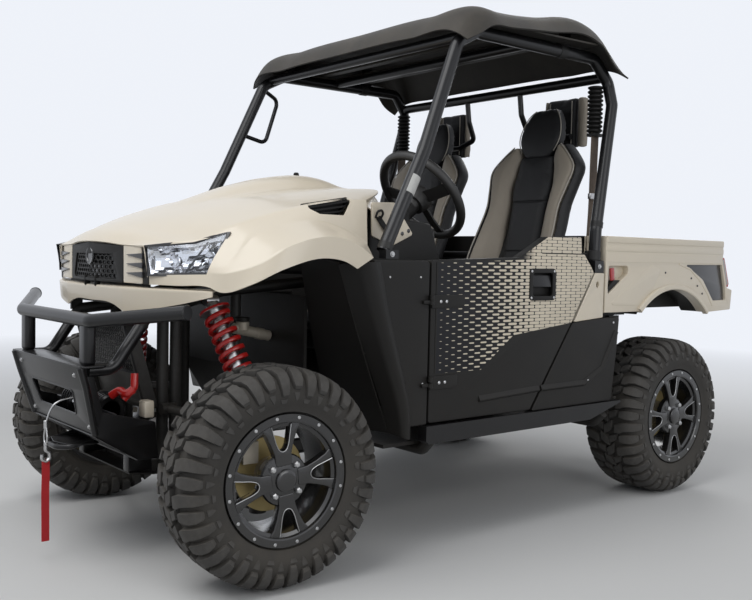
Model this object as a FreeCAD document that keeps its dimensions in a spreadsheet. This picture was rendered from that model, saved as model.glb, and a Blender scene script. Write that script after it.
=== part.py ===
"""Side by side utility vehicle: two seats, tube cage, tilting bed, front winch.

Units are millimetres.  +X is forward, +Y is left, +Z is up, the ground is z = 0
and x = 0 is the middle of the length.
"""
import math
import os
import re
from types import SimpleNamespace

import FreeCAD
import Part
import Sketcher
from FreeCAD import Placement, Rotation, Vector

os.makedirs("parts", exist_ok=True)
doc = FreeCAD.newDocument("side_by_side_utv")

# Driving dimensions: name, value, what it sizes
SIZES = [
    ("front_axle_x", 985, "front axle, ahead of the middle of the length"),
    ("rear_axle_x", -965, "rear axle, behind the middle of the length"),
    ("ring_plane_y", 735, "outer face of the wheel rings from the centre line"),
    ("tyre_radius", 325, "over the lugs"),
    ("tyre_width_front", 230, "front tyre, over the shoulders"),
    ("tyre_width_rear", 255, "rear tyre, over the shoulders"),
    ("ring_inset", 12, "wheel ring face inside the tyre's outer bulge"),
    ("lug_depth", 16, "tread lug height"),
    ("bead_radius", 178, "14 inch bead seat"),
    ("rim_gap", 0.3, "tyre bore over the rim"),
    ("rim_wall", 6, "rim barrel wall"),
    ("ring_radius", 195, "outer radius of the bolted wheel ring"),
    ("ring_thickness", 14, "bolted wheel ring"),
    ("spoke_thickness", 26, "depth of a spoke along the axle"),
    ("hub_radius", 78, "wheel centre disc"),
    ("cap_radius", 32, "hub cap"),
    ("disc_radius", 112, "brake disc"),
    ("disc_thickness", 5, "brake disc"),
    ("kingpin_y", 555, "kingpin axis from the centre line"),
    ("steer_rest", 5, "degrees the wheels point right as parked"),
    ("ball_height", 108, "ball joints above and below the axle"),
    ("spindle_radius", 20, "wheel spindle in its bearing"),
    ("hub_reach", 30, "wheel hub's inner face inboard of the tyre's middle"),
    ("hinge_gap", 0.3, "pin in its bore"),
    ("shaft_radius", 14, "half shafts"),
    ("joint_radius", 38, "constant velocity joints"),
    ("drive_radius", 56, "final drive housings"),
    ("drive_seat", 6, "cross plate under a final drive"),
    ("rack_radius", 9, "steering rack bar"),
    ("hood_pivot_x", 1278, "hood hinge"),
    ("hood_pivot_z", 885, "hood hinge"),
    ("hood_pin_radius", 5, "hood hinge pin"),
    ("hood_ear_y", 40, "hood hinge ears from the centre line"),
    ("arm_tube", 15, "suspension arm tube radius"),
    ("arm_low_y", 219, "lower arm inner pivots"),
    ("arm_high_y", 218, "upper arm inner pivots"),
    ("arm_span", 130, "arm pivots fore and aft of the axle"),
    ("coil_radius", 46, "outside of the red springs"),
    ("coil_wire", 7, "spring wire radius"),
    ("coil_turns", 7, "turns of a spring, a count"),
    ("rail_y", 180, "chassis rail centre line"),
    ("rail_width", 40, "chassis rail across"),
    ("rail_height", 38, "chassis rail depth"),
    ("rail_z", 268, "underside of the chassis rails"),
    ("rail_front_x", 1160, "front end of the rails"),
    ("rail_rear_x", -1330, "rear end of the rails"),
    ("frame_tube", 19, "frame tube radius"),
    ("sill_y", 690, "side step tube from the centre line"),
    ("sill_height", 60, "side step tube depth"),
    ("sill_width", 40, "side step tube across"),
    ("sill_z", 360, "underside of the side step tube"),
    ("sill_front_x", 440, "front end of the side step"),
    ("sill_rear_x", -610, "rear end of the side step"),
    ("cage_tube", 23, "roll cage tube radius"),
    ("hoop_tube", 21, "bumper hoop radius"),
    ("post_width", 50, "bumper posts across"),
    ("post_thickness", 28, "bumper posts fore and aft"),
    ("plate_wall", 5, "bumper plate"),
    ("floor_z", 350, "top of the cabin floor"),
    ("floor_wall", 12, "moulded floor and wall thickness"),
    ("floor_half", 640, "cabin floor half width"),
    ("floor_front_x", 600, "foot of the toe board"),
    ("cabin_rear_x", -430, "wall behind the seats"),
    ("seat_base_front_x", 60, "front of the seat box"),
    ("seat_base_z", 560, "top of the seat box"),
    ("seat_y", 320, "seat centre line"),
    ("seat_width", 500, "seat across the bolsters"),
    ("door_plane_y", 700, "outer face of the doors"),
    ("door_wall", 38, "door thickness"),
    ("door_front_x", 424, "door hinge edge"),
    ("door_gap", 7, "gap round a door"),
    ("panel_wall", 5, "moulded body panels"),
    ("dash_z", 1090, "top of the dash"),
    ("wheel_tilt", 38, "degrees the steering wheel leans from upright"),
    ("steering_radius", 178, "steering wheel rim centre"),
    ("steering_grip", 15, "steering wheel rim"),
    ("steering_x", 150, "steering wheel centre"),
    ("steering_z", 1200, "steering wheel centre"),
    ("bed_front_x", -500, "front of the cargo bed"),
    ("bed_rear_x", -1353, "rear of the cargo bed"),
    ("fender_width", 115, "bed fenders, outside of the bed wall to their outer skin"),
    ("bed_inner_half", 560, "cargo bed half width inside"),
    ("bed_top_z", 1070, "top of the bed sides"),
    ("bed_floor_z", 800, "bed floor, top side"),
    ("bed_wall", 25, "bed walls and floor"),
    ("bed_low_z", 770, "lower edge of the bed fenders"),
    ("arch_radius", 341, "bed wheel arch"),
    ("arch_z", 515, "centre of the bed wheel arch"),
    ("flare_width", 24, "raised flare round the bed arch"),
    ("gate_wall", 32, "tailgate thickness"),
    ("gate_gap", 6, "gap round the tailgate"),
    ("bed_pivot_x", -1240, "bed hinge"),
    ("bed_pivot_z", 690, "bed hinge"),
    ("engine_length", 395, "engine block fore and aft"),
    ("engine_width", 300, "engine block across"),
    ("engine_height", 300, "engine block depth"),
    ("engine_x", -645, "engine block centre"),
    ("engine_z", 360, "underside of the engine block"),
    ("winch_drum", 32, "winch drum radius"),
    ("winch_length", 300, "winch across"),
    ("cable_radius", 3, "winch cable"),
    ("strap_width", 25, "red pull strap"),
    ("strap_wall", 3, "red pull strap"),
]
sheet = doc.addObject("Spreadsheet::Sheet", "sizes")
for row, (name, value, note) in enumerate(SIZES, 1):
    sheet.set(f"A{row}", name)
    sheet.set(f"B{row}", str(value))
    sheet.set(f"C{row}", note)
    sheet.setAlias(f"B{row}", name)
doc.recompute()
mm = SimpleNamespace(**{name: float(sheet.get(name)) for name, _, _ in SIZES})
bed_half = mm.bed_inner_half + mm.bed_wall + mm.fender_width
drive_z = mm.rail_z + mm.drive_seat + mm.drive_radius

ALIAS = re.compile(r"\b[a-z]+_[a-z_]+\b")
SIDES = (("left", 1), ("right", -1))
NODES = []


# Helpers: sheet bindings, finished pieces, tubes and skins
def bind(thing, prop, text):
    """Bind a property to a formula of sheet names."""
    thing.setExpression(prop, ALIAS.sub(r"sizes.\g<0>", str(text)))


def place(thing, x=0, y=0, z=0, turn=None):
    """Bind where an object stands, and its turn about +Z in degrees."""
    for prop, text in (("x", x), ("y", y), ("z", z)):
        bind(thing, f"Placement.Base.{prop}", text)
    if turn is not None:
        thing.Placement.Rotation = Rotation(Vector(0, 0, 1), 1)
        bind(thing, "Placement.Rotation.Angle", turn)


def node(thing, label):
    """Name a finished sub-part and keep it for export."""
    thing.Label = label
    NODES.append(thing)
    return thing


def feature(label, shape, at=Vector()):
    """A finished sub-part whose shape is made by Part functions."""
    thing = doc.addObject("Part::Feature", label)
    thing.Shape = shape
    thing.Placement = Placement(at, Rotation()).multiply(shape.Placement)
    return node(thing, label)


def box(name, low, span):
    thing = doc.addObject("Part::Box", name)
    place(thing, *low)
    for prop, text in zip(("Length", "Width", "Height"), span):
        bind(thing, prop, text)
    return thing


def join(label, kind, things):
    thing = doc.addObject(kind, label)
    if kind == "Part::Cut":
        thing.Base, thing.Tool = things
    elif kind == "Part::Compound":
        thing.Links = things
    else:
        thing.Shapes = things
    return thing


def profile(body, role, corners):
    """A closed sketch whose corners are bound to pairs of formulas."""
    sketch = body.newObject("Sketcher::SketchObject", body.Name + "_sketch")
    plane = next(item for item in body.Origin.OriginFeatures if item.Role == role)
    sketch.AttachmentSupport = [(plane, "")]
    sketch.MapMode = "FlatFace"
    count = len(corners)
    start = [Vector(math.cos(math.tau * i / count), math.sin(math.tau * i / count), 0) * 100
             for i in range(count)]
    for i in range(count):
        sketch.addGeometry(Part.LineSegment(start[i], start[(i + 1) % count]), False)
    for i in range(count):
        sketch.addConstraint(Sketcher.Constraint("Coincident", i, 2, (i + 1) % count, 1))
    for i, pair in enumerate(corners):
        for kind, text, rough in zip(("DistanceX", "DistanceY"), pair, start[i]):
            index = sketch.addConstraint(Sketcher.Constraint(kind, -1, 1, i, 1, rough))
            bind(sketch, f"Constraints[{index}]", text)
    return sketch


def pad(body, sketch, length, reverse=False, midplane=False):
    thing = body.newObject("PartDesign::Pad", body.Name + "_pad")
    thing.Profile = sketch
    thing.Reversed = reverse
    thing.Midplane = midplane
    bind(thing, "Length", length)
    sketch.Visibility = False
    return thing


def revolve(body, sketch, axis="H_Axis"):
    thing = body.newObject("PartDesign::Revolution", body.Name + "_turn")
    thing.Profile = sketch
    thing.ReferenceAxis = (sketch, [axis])
    thing.Angle = 360
    sketch.Visibility = False
    return thing


def path(points, bend):
    """Straight runs joined by arcs of one bend radius, or without one by arcs as wide as the runs allow."""
    edges = []
    start = points[0]
    for before, corner, after in zip(points, points[1:], points[2:]):
        run = min((before - corner).Length, (after - corner).Length)
        back = (before - corner).normalize()
        ahead = (after - corner).normalize()
        half = back.getAngle(ahead) / 2
        setback = bend / math.tan(half) if bend else 0.45 * run
        if not bend:
            print("cord arc radius", round(setback * math.tan(half), 1))
        middle = corner + (back + ahead).normalize() * setback * (1 / math.cos(half) - math.tan(half))
        edges.append(Part.LineSegment(start, corner + back * setback).toShape())
        edges.append(Part.Arc(corner + back * setback, middle, corner + ahead * setback).toShape())
        start = corner + ahead * setback
    edges.append(Part.LineSegment(start, points[-1]).toShape())
    return Part.Wire(edges)


def tube(points, radius, bend=80):
    """A bent round tube through the points."""
    points = [Vector(*p) for p in points]
    ring = Part.Wire(Part.makeCircle(radius, points[0], points[1] - points[0]))
    return path(points, bend).makePipeShell([ring], True, False)


def rod(start, end, radius):
    start, end = Vector(*start), Vector(*end)
    return Part.makeCylinder(radius, (end - start).Length, start, end - start)


def slab(corners, depth):
    """A flat-sided block from one outline, pushed along the vector depth."""
    front = [Vector(*p) for p in corners]
    wire = Part.makePolygon(front + front[:1])
    return Part.Face(wire).extrude(Vector(*depth))


def block(low, high):
    """A box between two corners."""
    low, high = Vector(*low), Vector(*high)
    span = high - low
    return Part.makeBox(span.x, span.y, span.z, low)


def triangles(a, b, c, d):
    return [(a, b, c), (a, c, d)]


def skin(rows, wall):
    """A moulded panel: a grid of points given rows of the same length, made wall thick inwards."""
    rows = [[Vector(*p) for p in row] for row in rows]
    count, width = len(rows), len(rows[0])

    def normal(i, j):
        along = rows[min(i + 1, count - 1)][j] - rows[max(i - 1, 0)][j]
        across = rows[i][min(j + 1, width - 1)] - rows[i][max(j - 1, 0)]
        return across.cross(along).normalize()

    inner = [[rows[i][j] - normal(i, j) * wall for j in range(width)] for i in range(count)]
    faces = []
    for i in range(count - 1):
        for j in range(width - 1):
            faces += triangles(rows[i][j], rows[i][j + 1], rows[i + 1][j + 1], rows[i + 1][j])
            faces += triangles(inner[i][j], inner[i + 1][j], inner[i + 1][j + 1], inner[i][j + 1])
    for j in range(width - 1):
        faces += triangles(rows[0][j + 1], rows[0][j], inner[0][j], inner[0][j + 1])
        faces += triangles(rows[-1][j], rows[-1][j + 1], inner[-1][j + 1], inner[-1][j])
    for i in range(count - 1):
        faces += triangles(rows[i][0], rows[i + 1][0], inner[i + 1][0], inner[i][0])
        faces += triangles(rows[i + 1][-1], rows[i][-1], inner[i][-1], inner[i + 1][-1])
    return polyhedron(faces)


def polyhedron(faces):
    """A solid from its triangles."""
    shell = Part.makeShell([Part.Face(Part.makePolygon([a, b, c, a])) for a, b, c in faces])
    shell.sewShape()
    solid = Part.makeSolid(shell.Shells[0])
    if solid.Volume < 0:
        solid.reverse()
    return solid


def lens(corners, depth):
    """A block whose front outline need not be flat, pushed along the vector depth."""
    front = [Vector(*p) for p in corners]
    back = [p + Vector(*depth) for p in front]
    faces = []
    for i in range(1, len(front) - 1):
        faces += [(front[0], front[i], front[i + 1]), (back[0], back[i + 1], back[i])]
    for i in range(len(front)):
        j = (i + 1) % len(front)
        faces += triangles(front[i], back[i], back[j], front[j])
    return polyhedron(faces)


def mirror(shape):
    """The same shape on the other side of the centre plane."""
    return shape.mirror(Vector(), Vector(0, 1, 0))


def both(shape):
    """Left and right copies as one compound."""
    return Part.makeCompound([shape, mirror(shape)])


def whole(rows):
    """Left half rows made into full width rows; the first point of a row is on the centre line."""
    return [[(x, -y, z) for x, y, z in reversed(row[1:])] + list(row) for row in rows]


def largest(shape):
    """The piece itself, without the crumbs that a saddle cut leaves inside its neighbour."""
    return max(shape.Solids, key=lambda solid: solid.Volume)


def fuse(shapes):
    result = shapes[0].fuse(shapes[1:]) if len(shapes) > 1 else shapes[0]
    return result.removeSplitter()


# Tyres: one pitch round the tyre is a raised lug and a groove, and the other side is set half a pitch on
PITCHES = 20


def turn_ring(y, radius, count, start=0):
    """Points round the axle at one distance across the tyre."""
    return [Vector(radius * math.sin(math.tau * (i + start) / count), y, radius * math.cos(math.tau * (i + start) / count))
            for i in range(count)]


def strip(one, two):
    """Triangles between two rings; the second may have half the points of the first."""
    faces, count = [], len(one)
    if len(two) == count:
        for i in range(count):
            faces += triangles(one[i], one[(i + 1) % count], two[(i + 1) % count], two[i])
        return faces
    for i in range(len(two)):
        j = (i + 1) % len(two)
        faces += [(one[2 * i], one[2 * i + 1], two[i]), (one[2 * i + 1], two[j], two[i]),
                  (one[2 * i + 1], one[(2 * i + 2) % count], two[j])]
    return faces


def tread_half(half, side):
    """Lugs and grooves of one side, and its groove ring next to the middle."""
    count = 2 * PITCHES
    crown, groove = mm.tyre_radius, mm.tyre_radius - mm.lug_depth
    # columns: across from the middle, groove radius, lug radius
    rows = [(18, groove, crown), (half - 34, groove - 1, crown), (half - 8, groove - 17, crown - 16),
            (half, crown - 62, crown - 62)]
    low = [turn_ring(side * y, radius, count) for y, radius, _ in rows]
    high = [turn_ring(side * y, radius, count) for y, _, radius in rows[:3]] + [low[3]]
    first = 0 if side > 0 else 1
    faces = []
    for i in range(count):
        j = (i + 1) % count
        rings = high if i % 2 == first else low
        for one, two in zip(rings, rings[1:]):
            faces += triangles(one[i], one[j], two[j], two[i])
        if i % 2 == first:
            faces += triangles(low[0][i], low[0][j], high[0][j], high[0][i])
            for k in (i, j):
                faces += triangles(low[0][k], high[0][k], high[1][k], low[1][k])
                faces += triangles(low[1][k], high[1][k], high[2][k], low[2][k])
                faces.append((low[2][k], high[2][k], low[3][k]))
    return faces, low[0], low[3]


def make_tyre(width):
    """Tyre about its own axle, the local Y axis, outer side at +Y."""
    half = width / 2
    count = 2 * PITCHES
    bore = (mm.bead_radius + mm.rim_gap) / math.cos(math.pi / PITCHES)
    out_faces, out_middle, out_wall = tread_half(half, 1)
    in_faces, in_middle, in_wall = tread_half(half, -1)
    lip_ring = turn_ring(half - mm.ring_inset, mm.ring_radius + 5, count)
    in_ring = turn_ring(5 - half, mm.bead_radius + 46, count)
    bead = half - mm.ring_inset - mm.ring_thickness - 1
    bore_rings = [turn_ring(y, radius, PITCHES) for y, radius in
                  ((bead, mm.ring_radius + 1), (bead, bore), (27 - half, bore), (27 - half, mm.bead_radius + 14))]
    faces = out_faces + in_faces + strip(out_middle, in_middle) + strip(out_wall, lip_ring)
    faces += strip(lip_ring, bore_rings[0]) + strip(in_wall, in_ring) + strip(in_ring, bore_rings[3])
    for one, two in zip(bore_rings, bore_rings[1:]):
        faces += strip(one, two)
    return polyhedron(faces)


# Wheels stand on their own axle, the local Y axis, with the outer side at +Y
def make_wheel(end, side, sign, width, centre, turn):
    label = f"{end}_{side}"
    half = f"{width} / 2"
    tyre = doc.addObject("Part::Feature", "tyre_" + label)
    tyre.Shape = TYRE_SHAPES[end]
    place(tyre, *centre, turn=turn)
    node(tyre, "tyre_" + label)

    rim = doc.addObject("PartDesign::Body", "rim_" + label)
    face = f"{half} - ring_inset"
    barrel = [
        (f"{face}", "ring_radius"),
        (f"{face}", "bead_radius - 22"),
        (f"{face} - ring_thickness", "bead_radius - 22"),
        (f"{face} - 40", "bead_radius - 2 * rim_wall - 12"),
        (f"-{half} + 40", "bead_radius - 2 * rim_wall - 6"),
        (f"-{half} + 20", "bead_radius - rim_wall"),
        (f"-{half} + 20", "bead_radius + 8"),
        (f"-{half} + 23", "bead_radius + 8"),
        (f"-{half} + 26", "bead_radius"),
        (f"{half} - 26", "bead_radius"),
        (f"{half} - 26", "ring_radius - 8"),
        (f"{face} - ring_thickness + 4", "ring_radius"),
    ]
    revolve(rim, profile(rim, "YZ_Plane", barrel))
    hub = [
        (f"{face} + 2", "0"),
        (f"{face} + 2", "cap_radius - 8"),
        (f"{face} - 10", "cap_radius"),
        (f"{face} - 18", "cap_radius + 2"),
        (f"{face} - 20", "hub_radius"),
        (f"{face} - 44", "hub_radius"),
        (f"{face} - 50", "52"),
        ("-6", "52"),
        ("-6", "disc_radius"),
        ("-6 - disc_thickness", "disc_radius"),
        ("-6 - disc_thickness", "spindle_radius + 8"),
        ("-hub_reach", "spindle_radius + 8"),
        ("-hub_reach", "spindle_radius"),
        ("-hub_reach - 22", "spindle_radius"),
        ("-hub_reach - 22", "0"),
    ]
    revolve(rim, profile(rim, "YZ_Plane", hub))
    arm = [
        ("40", "-26"), ("hub_radius", "-30"), ("hub_radius + 30", "-42"), ("bead_radius - 28", "-62"),
        ("bead_radius - 19", "-66"), ("bead_radius - 12", "-44"), ("bead_radius - 28", "-38"),
        ("hub_radius + 38", "-22"), ("hub_radius + 14", "-8"), ("hub_radius + 14", "8"),
        ("hub_radius + 38", "22"), ("bead_radius - 28", "38"), ("bead_radius - 12", "44"),
        ("bead_radius - 19", "66"), ("bead_radius - 28", "62"), ("hub_radius + 30", "42"),
        ("hub_radius", "30"), ("40", "26"),
    ]
    arms = profile(rim, "XZ_Plane", arm)
    bind(arms, "AttachmentOffset.Base.z", f"-({face} - 14)")
    spoke = pad(rim, arms, "spoke_thickness", reverse=False)
    ring = rim.newObject("PartDesign::PolarPattern", rim.Name + "_spokes")
    ring.Originals = [spoke]
    y_axis = next(item for item in rim.Origin.OriginFeatures if item.Role == "Y_Axis")
    ring.Axis = (y_axis, [""])
    ring.Angle = 360
    ring.Occurrences = 4
    rim.Tip = ring
    place(rim, *centre, turn=turn)
    node(rim, "rim_" + label)


TYRE_SHAPES = {"front": make_tyre(mm.tyre_width_front), "rear": make_tyre(mm.tyre_width_rear)}
half_front = "(ring_plane_y + ring_inset - tyre_width_front / 2)"
half_rear = "(ring_plane_y + ring_inset - tyre_width_rear / 2)"
swing = f"({half_front} - kingpin_y)"
for side, sign in SIDES:
    out = 0 if sign > 0 else 180
    make_wheel("front", side, sign, "tyre_width_front",
               (f"front_axle_x + {sign} * {swing} * sin(steer_rest)",
                f"{sign} * (kingpin_y + {swing} * cos(steer_rest))", "tyre_radius"),
               f"{out} - steer_rest")
    make_wheel("rear", side, sign, "tyre_width_rear",
               ("rear_axle_x", f"{sign} * {half_rear}", "tyre_radius"), f"{out}")

# Steering knuckles: kingpin post, bearing housing, steering arm and brake caliper
swing_y = mm.ring_plane_y + mm.ring_inset - mm.tyre_width_front / 2 - mm.kingpin_y
housing_end = swing_y - mm.hub_reach - 2
for side, sign in SIDES:
    post = rod((0, 0, -mm.ball_height), (0, 0, mm.ball_height), 20)
    bearing = rod((0, -32, 0), (0, housing_end, 0), 48)
    arm = slab([(-10, -24, 6), (-10, 10, 6), (-112, -6, 6), (-112, -34, 6)], (0, 0, 18))
    caliper = block((48, 50, 40), (96, 92, 104)).cut(rod((0, 60, 0), (0, 77, 0), mm.disc_radius + 6))
    bracket = block((24, -10, 24), (60, 60, 60))
    shape = fuse([post, bearing, arm, caliper, bracket])
    shape = shape.cut(rod((0, housing_end - 25, 0), (0, housing_end + 1, 0), mm.spindle_radius + mm.hinge_gap))
    if sign < 0:
        shape = mirror(shape)
    shape.rotate(Vector(), Vector(0, 0, 1), -mm.steer_rest)
    feature("knuckle_" + side, shape, Vector(mm.front_axle_x, sign * mm.kingpin_y, mm.tyre_radius))

# Steering rack: one bar with a ball at each end, above the steering arms
rack_x = mm.front_axle_x - 100
rack_z = mm.tyre_radius + 43
rack_ends = (mm.kingpin_y - 11, -mm.kingpin_y + 29)
feature("steering_rack", fuse([rod((rack_x, rack_ends[1], rack_z), (rack_x, rack_ends[0], rack_z), mm.rack_radius)]
                              + [rod((rack_x, y, rack_z - 13), (rack_x, y, rack_z + 13), 13) for y in rack_ends]))

# Wishbones: columns are axle, inner y, inner z, ball z
ball_low = mm.tyre_radius - mm.ball_height - 12.5
ball_high = mm.tyre_radius + mm.ball_height + 12.5
arm_low_z = mm.rail_z + mm.rail_height / 2
WISHBONES = [
    (mm.front_axle_x, mm.arm_low_y, arm_low_z, ball_low),
    (mm.front_axle_x, mm.arm_high_y, 470, ball_high),
    (mm.rear_axle_x, mm.arm_low_y, arm_low_z, ball_low),
    (mm.rear_axle_x, mm.arm_high_y, 470, ball_high),
]
arms = []
for axle, inner_y, inner_z, ball_z in WISHBONES:
    ball = (axle, mm.kingpin_y, ball_z)
    legs = [rod((axle + s * mm.arm_span, inner_y + 16, inner_z), ball, mm.arm_tube) for s in (1, -1)]
    eyes = [rod((axle + s * mm.arm_span - 24, inner_y, inner_z), (axle + s * mm.arm_span + 24, inner_y, inner_z), 19)
            for s in (1, -1)]
    cross = rod((axle - 68, 360, (inner_z + ball_z) / 2), (axle + 68, 360, (inner_z + ball_z) / 2), 10)
    ball_disc = rod((axle, mm.kingpin_y, ball_z - 12), (axle, mm.kingpin_y, ball_z + 12), 26)
    trim = block((axle - 60, mm.kingpin_y - 60, ball_z - 60), (axle + 60, mm.kingpin_y + 60, ball_z - 12)).fuse(
        block((axle - 60, mm.kingpin_y - 60, ball_z + 12), (axle + 60, mm.kingpin_y + 60, ball_z + 60)))
    arms.append(fuse(legs + eyes + [cross, ball_disc]).cut(trim))
feature("suspension_arms", Part.makeCompound([copy for arm in arms for copy in (arm, mirror(arm))]))

# Rear uprights between the rear wishbones
housing_end = mm.ring_plane_y + mm.ring_inset - mm.tyre_width_rear / 2 - mm.hub_reach - 2
upright = fuse([
    rod((mm.rear_axle_x, mm.kingpin_y, mm.tyre_radius - mm.ball_height),
        (mm.rear_axle_x, mm.kingpin_y, mm.tyre_radius + mm.ball_height), 22),
    rod((mm.rear_axle_x, mm.kingpin_y - 34, mm.tyre_radius), (mm.rear_axle_x, housing_end, mm.tyre_radius), 48),
]).cut(rod((mm.rear_axle_x, housing_end - 25, mm.tyre_radius), (mm.rear_axle_x, housing_end + 1, mm.tyre_radius),
           mm.spindle_radius + mm.hinge_gap))
feature("rear_uprights", both(upright))

# Dampers and springs: columns are axle end, top point, bottom point
DAMPERS = [
    (Vector(mm.front_axle_x + 8, 268, 818), Vector(mm.front_axle_x - 55, 440, 486.6)),
    (Vector(mm.rear_axle_x + 40, 300, 690), Vector(mm.rear_axle_x + 60, 430, 487.3)),
]
dampers, springs = [], []
for top, bottom in DAMPERS:
    line = (bottom - top).normalize()
    start, stop = top + line * 40, bottom - line * 45
    ends = [rod(p - Vector(22, 0, 0), p + Vector(22, 0, 0), 17) for p in (top, bottom)]
    cups = [rod(start - line * 8, start, mm.coil_radius + 3), rod(stop, stop + line * 8, mm.coil_radius + 3)]
    damper = fuse([rod(top + line * 10, bottom - line * 10, 21)] + ends + cups)
    dampers += [damper, mirror(damper)]
    seat = mm.coil_wire + mm.hinge_gap
    height = (stop - start).Length - 2 * seat
    middle = mm.coil_radius - mm.coil_wire
    helix = Part.makeHelix(height / mm.coil_turns, height, middle)
    wire = Part.Wire(Part.makeCircle(mm.coil_wire, Vector(middle, 0, 0), Vector(0, 1, 0)))
    coil = Part.Wire(helix).makePipeShell([wire], True, True)
    coil.Placement = Placement(start + line * seat, Rotation(Vector(0, 0, 1), line))
    springs += [coil, mirror(coil)]
feature("dampers", Part.makeCompound(dampers))
feature("springs", Part.makeCompound(springs))

# Two final drives on their cross plates, the half shafts with their joints, and the long shaft between them
drives, shafts = [], []
for axle, nose, outer in ((mm.front_axle_x, -1, 490), (mm.rear_axle_x, 1, mm.kingpin_y - 34)):
    drive = fuse([rod((axle, -100, drive_z), (axle, 100, drive_z), mm.drive_radius),
                  rod((axle, 0, drive_z), (axle + nose * 120, 0, drive_z), 24)])
    shaft = fuse([rod((axle, 100, drive_z), (axle, outer, mm.tyre_radius), mm.shaft_radius),
                  rod((axle, 100, drive_z), (axle, 155, drive_z), mm.joint_radius),
                  rod((axle, outer - 58, mm.tyre_radius), (axle, outer, mm.tyre_radius), mm.joint_radius)])
    shaft = shaft.cut(drive).cut(upright)
    drives.append(drive)
    shafts += [shaft, mirror(shaft)]
feature("final_drives", Part.makeCompound(drives))
feature("half_shafts", Part.makeCompound(shafts))
feature("drive_shaft", rod((mm.rear_axle_x + 120, 0, drive_z), (mm.front_axle_x - 120, 0, drive_z), 20))

# Engine: one plain block, and the silencer behind it
engine = box("engine_block", ("engine_x - engine_length / 2", "-engine_width / 2", "engine_z"),
             ("engine_length", "engine_width", "engine_height"))
node(engine, "engine_block")
stub_end = mm.rail_y - mm.frame_tube
feature("silencer", fuse([rod((-1240, -140, 560), (-1240, 140, 560), 62),
                          rod((-1190, -stub_end, 560), (-1190, stub_end, 560), 18)]))

# Side step tubes below the doors
step = slab([(mm.sill_front_x, 0, mm.sill_z + 10), (mm.sill_front_x - 12, 0, mm.sill_z),
             (mm.sill_rear_x + 190, 0, mm.sill_z), (mm.sill_rear_x, 0, mm.sill_z + mm.sill_height - 8),
             (mm.sill_rear_x, 0, mm.sill_z + mm.sill_height), (mm.sill_front_x, 0, mm.sill_z + mm.sill_height)],
            (0, mm.sill_width, 0))
step.translate(Vector(0, mm.sill_y - mm.sill_width / 2, 0))
steps = both(step)
feature("step_tubes", steps)

# Chassis: two rails with cross members between them, drive plates and engine mounts, all of box stock
rail_top = mm.rail_z + mm.rail_height
half_rail = mm.rail_width / 2
rail_inside = mm.rail_y - half_rail
bed_rail_low, bed_rail_high = mm.bed_pivot_z - 20, mm.bed_pivot_z + 20
CROSS_X = (mm.rail_front_x - 25, mm.front_axle_x - 175, 300, -150, mm.rear_axle_x + 185, mm.rear_axle_x - 185,
           mm.rail_rear_x + 25)
rails = []
for s in (1, -1):
    y = sorted((s * rail_inside, s * (mm.rail_y + half_rail)))
    rails.append(block((mm.rail_rear_x, y[0], mm.rail_z), (mm.rail_front_x, y[1], rail_top)))
    for x in (-565, -790):
        y = sorted((s * (mm.engine_width / 2 - 20), s * mm.rail_y))
        rails.append(block((x - 20, y[0], rail_top), (x + 20, y[1], mm.engine_z)))
for x in CROSS_X:
    rails.append(block((x - 20, -rail_inside, mm.rail_z), (x + 20, rail_inside, rail_top - 8)))
for axle in (mm.front_axle_x, mm.rear_axle_x):
    rails.append(block((axle - 45, -rail_inside, mm.rail_z), (axle + 45, rail_inside, drive_z - mm.drive_radius)))
feature("frame_rails", Part.makeCompound(rails))

# Square hitch socket behind the last cross member
hitch_end = mm.rail_rear_x + 5
hitch = block((hitch_end - 95, -32, mm.rail_z - 24), (hitch_end, 32, mm.rail_z + 40)).cut(
    block((hitch_end - 96, -25.4, mm.rail_z - 17.4), (hitch_end - 6, 25.4, mm.rail_z + 33.4)))
feature("hitch", hitch)

# Front frame: uprights, top rails from the bumper braces back under the dash, shock tower tube, rack housings
brace_end = (1232, 262, 742)
damper_tube = rod((DAMPERS[0][0].x, 17 - DAMPERS[0][0].y, DAMPERS[0][0].z),
                  (DAMPERS[0][0].x, DAMPERS[0][0].y - 17, DAMPERS[0][0].z), 15)
top_rail = tube([brace_end, (1215, 262, 767), (1120, mm.rail_y, 785), (900, mm.rail_y, 845), (560, 250, 881),
                 (560, 655, 881)], mm.frame_tube, 30).cut(damper_tube)
lip_tab = block((1206, 256, 765), (1246, 268, 866))
top_rail = fuse([top_rail, lip_tab])
uprights = [rod((x, mm.rail_y, rail_top), (x, mm.rail_y, top), mm.frame_tube).cut(top_rail)
            for x, top in ((1116, 786), (1070, 799), (848, 850))]
housing = rod((rack_x, 30, rack_z), (rack_x, mm.rail_y + 16, rack_z), 20)
for piece in uprights:
    housing = housing.cut(piece)
rack_bore = rod((rack_x, -300, rack_z), (rack_x, 300, rack_z), mm.rack_radius + mm.hinge_gap)
front_frame = [top_rail, housing.cut(rack_bore)] + uprights

# Rear frame: columns, bed rails with their hinge plates, upper damper tube and the hinge pin
bed_rail = fuse([block((-1205, mm.rail_y - 22, bed_rail_low), (-450, mm.rail_y + 22, bed_rail_high)),
                 block((-1205, mm.rail_y - 40, bed_rail_low), (-1185, mm.rail_y + 40, bed_rail_high)),
                 block((-1262, mm.rail_y - 40, bed_rail_low), (-1205, mm.rail_y - 28, bed_rail_high)),
                 block((-1262, mm.rail_y + 28, bed_rail_low), (-1205, mm.rail_y + 40, bed_rail_high))])
pin_end = mm.rail_y + 46
bed_pin = rod((mm.bed_pivot_x, -pin_end, mm.bed_pivot_z), (mm.bed_pivot_x, pin_end, mm.bed_pivot_z), 10)
rear_tube = rod((DAMPERS[1][0].x, 17 - DAMPERS[1][0].y, DAMPERS[1][0].z),
                (DAMPERS[1][0].x, DAMPERS[1][0].y - 17, DAMPERS[1][0].z), 15)
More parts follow.
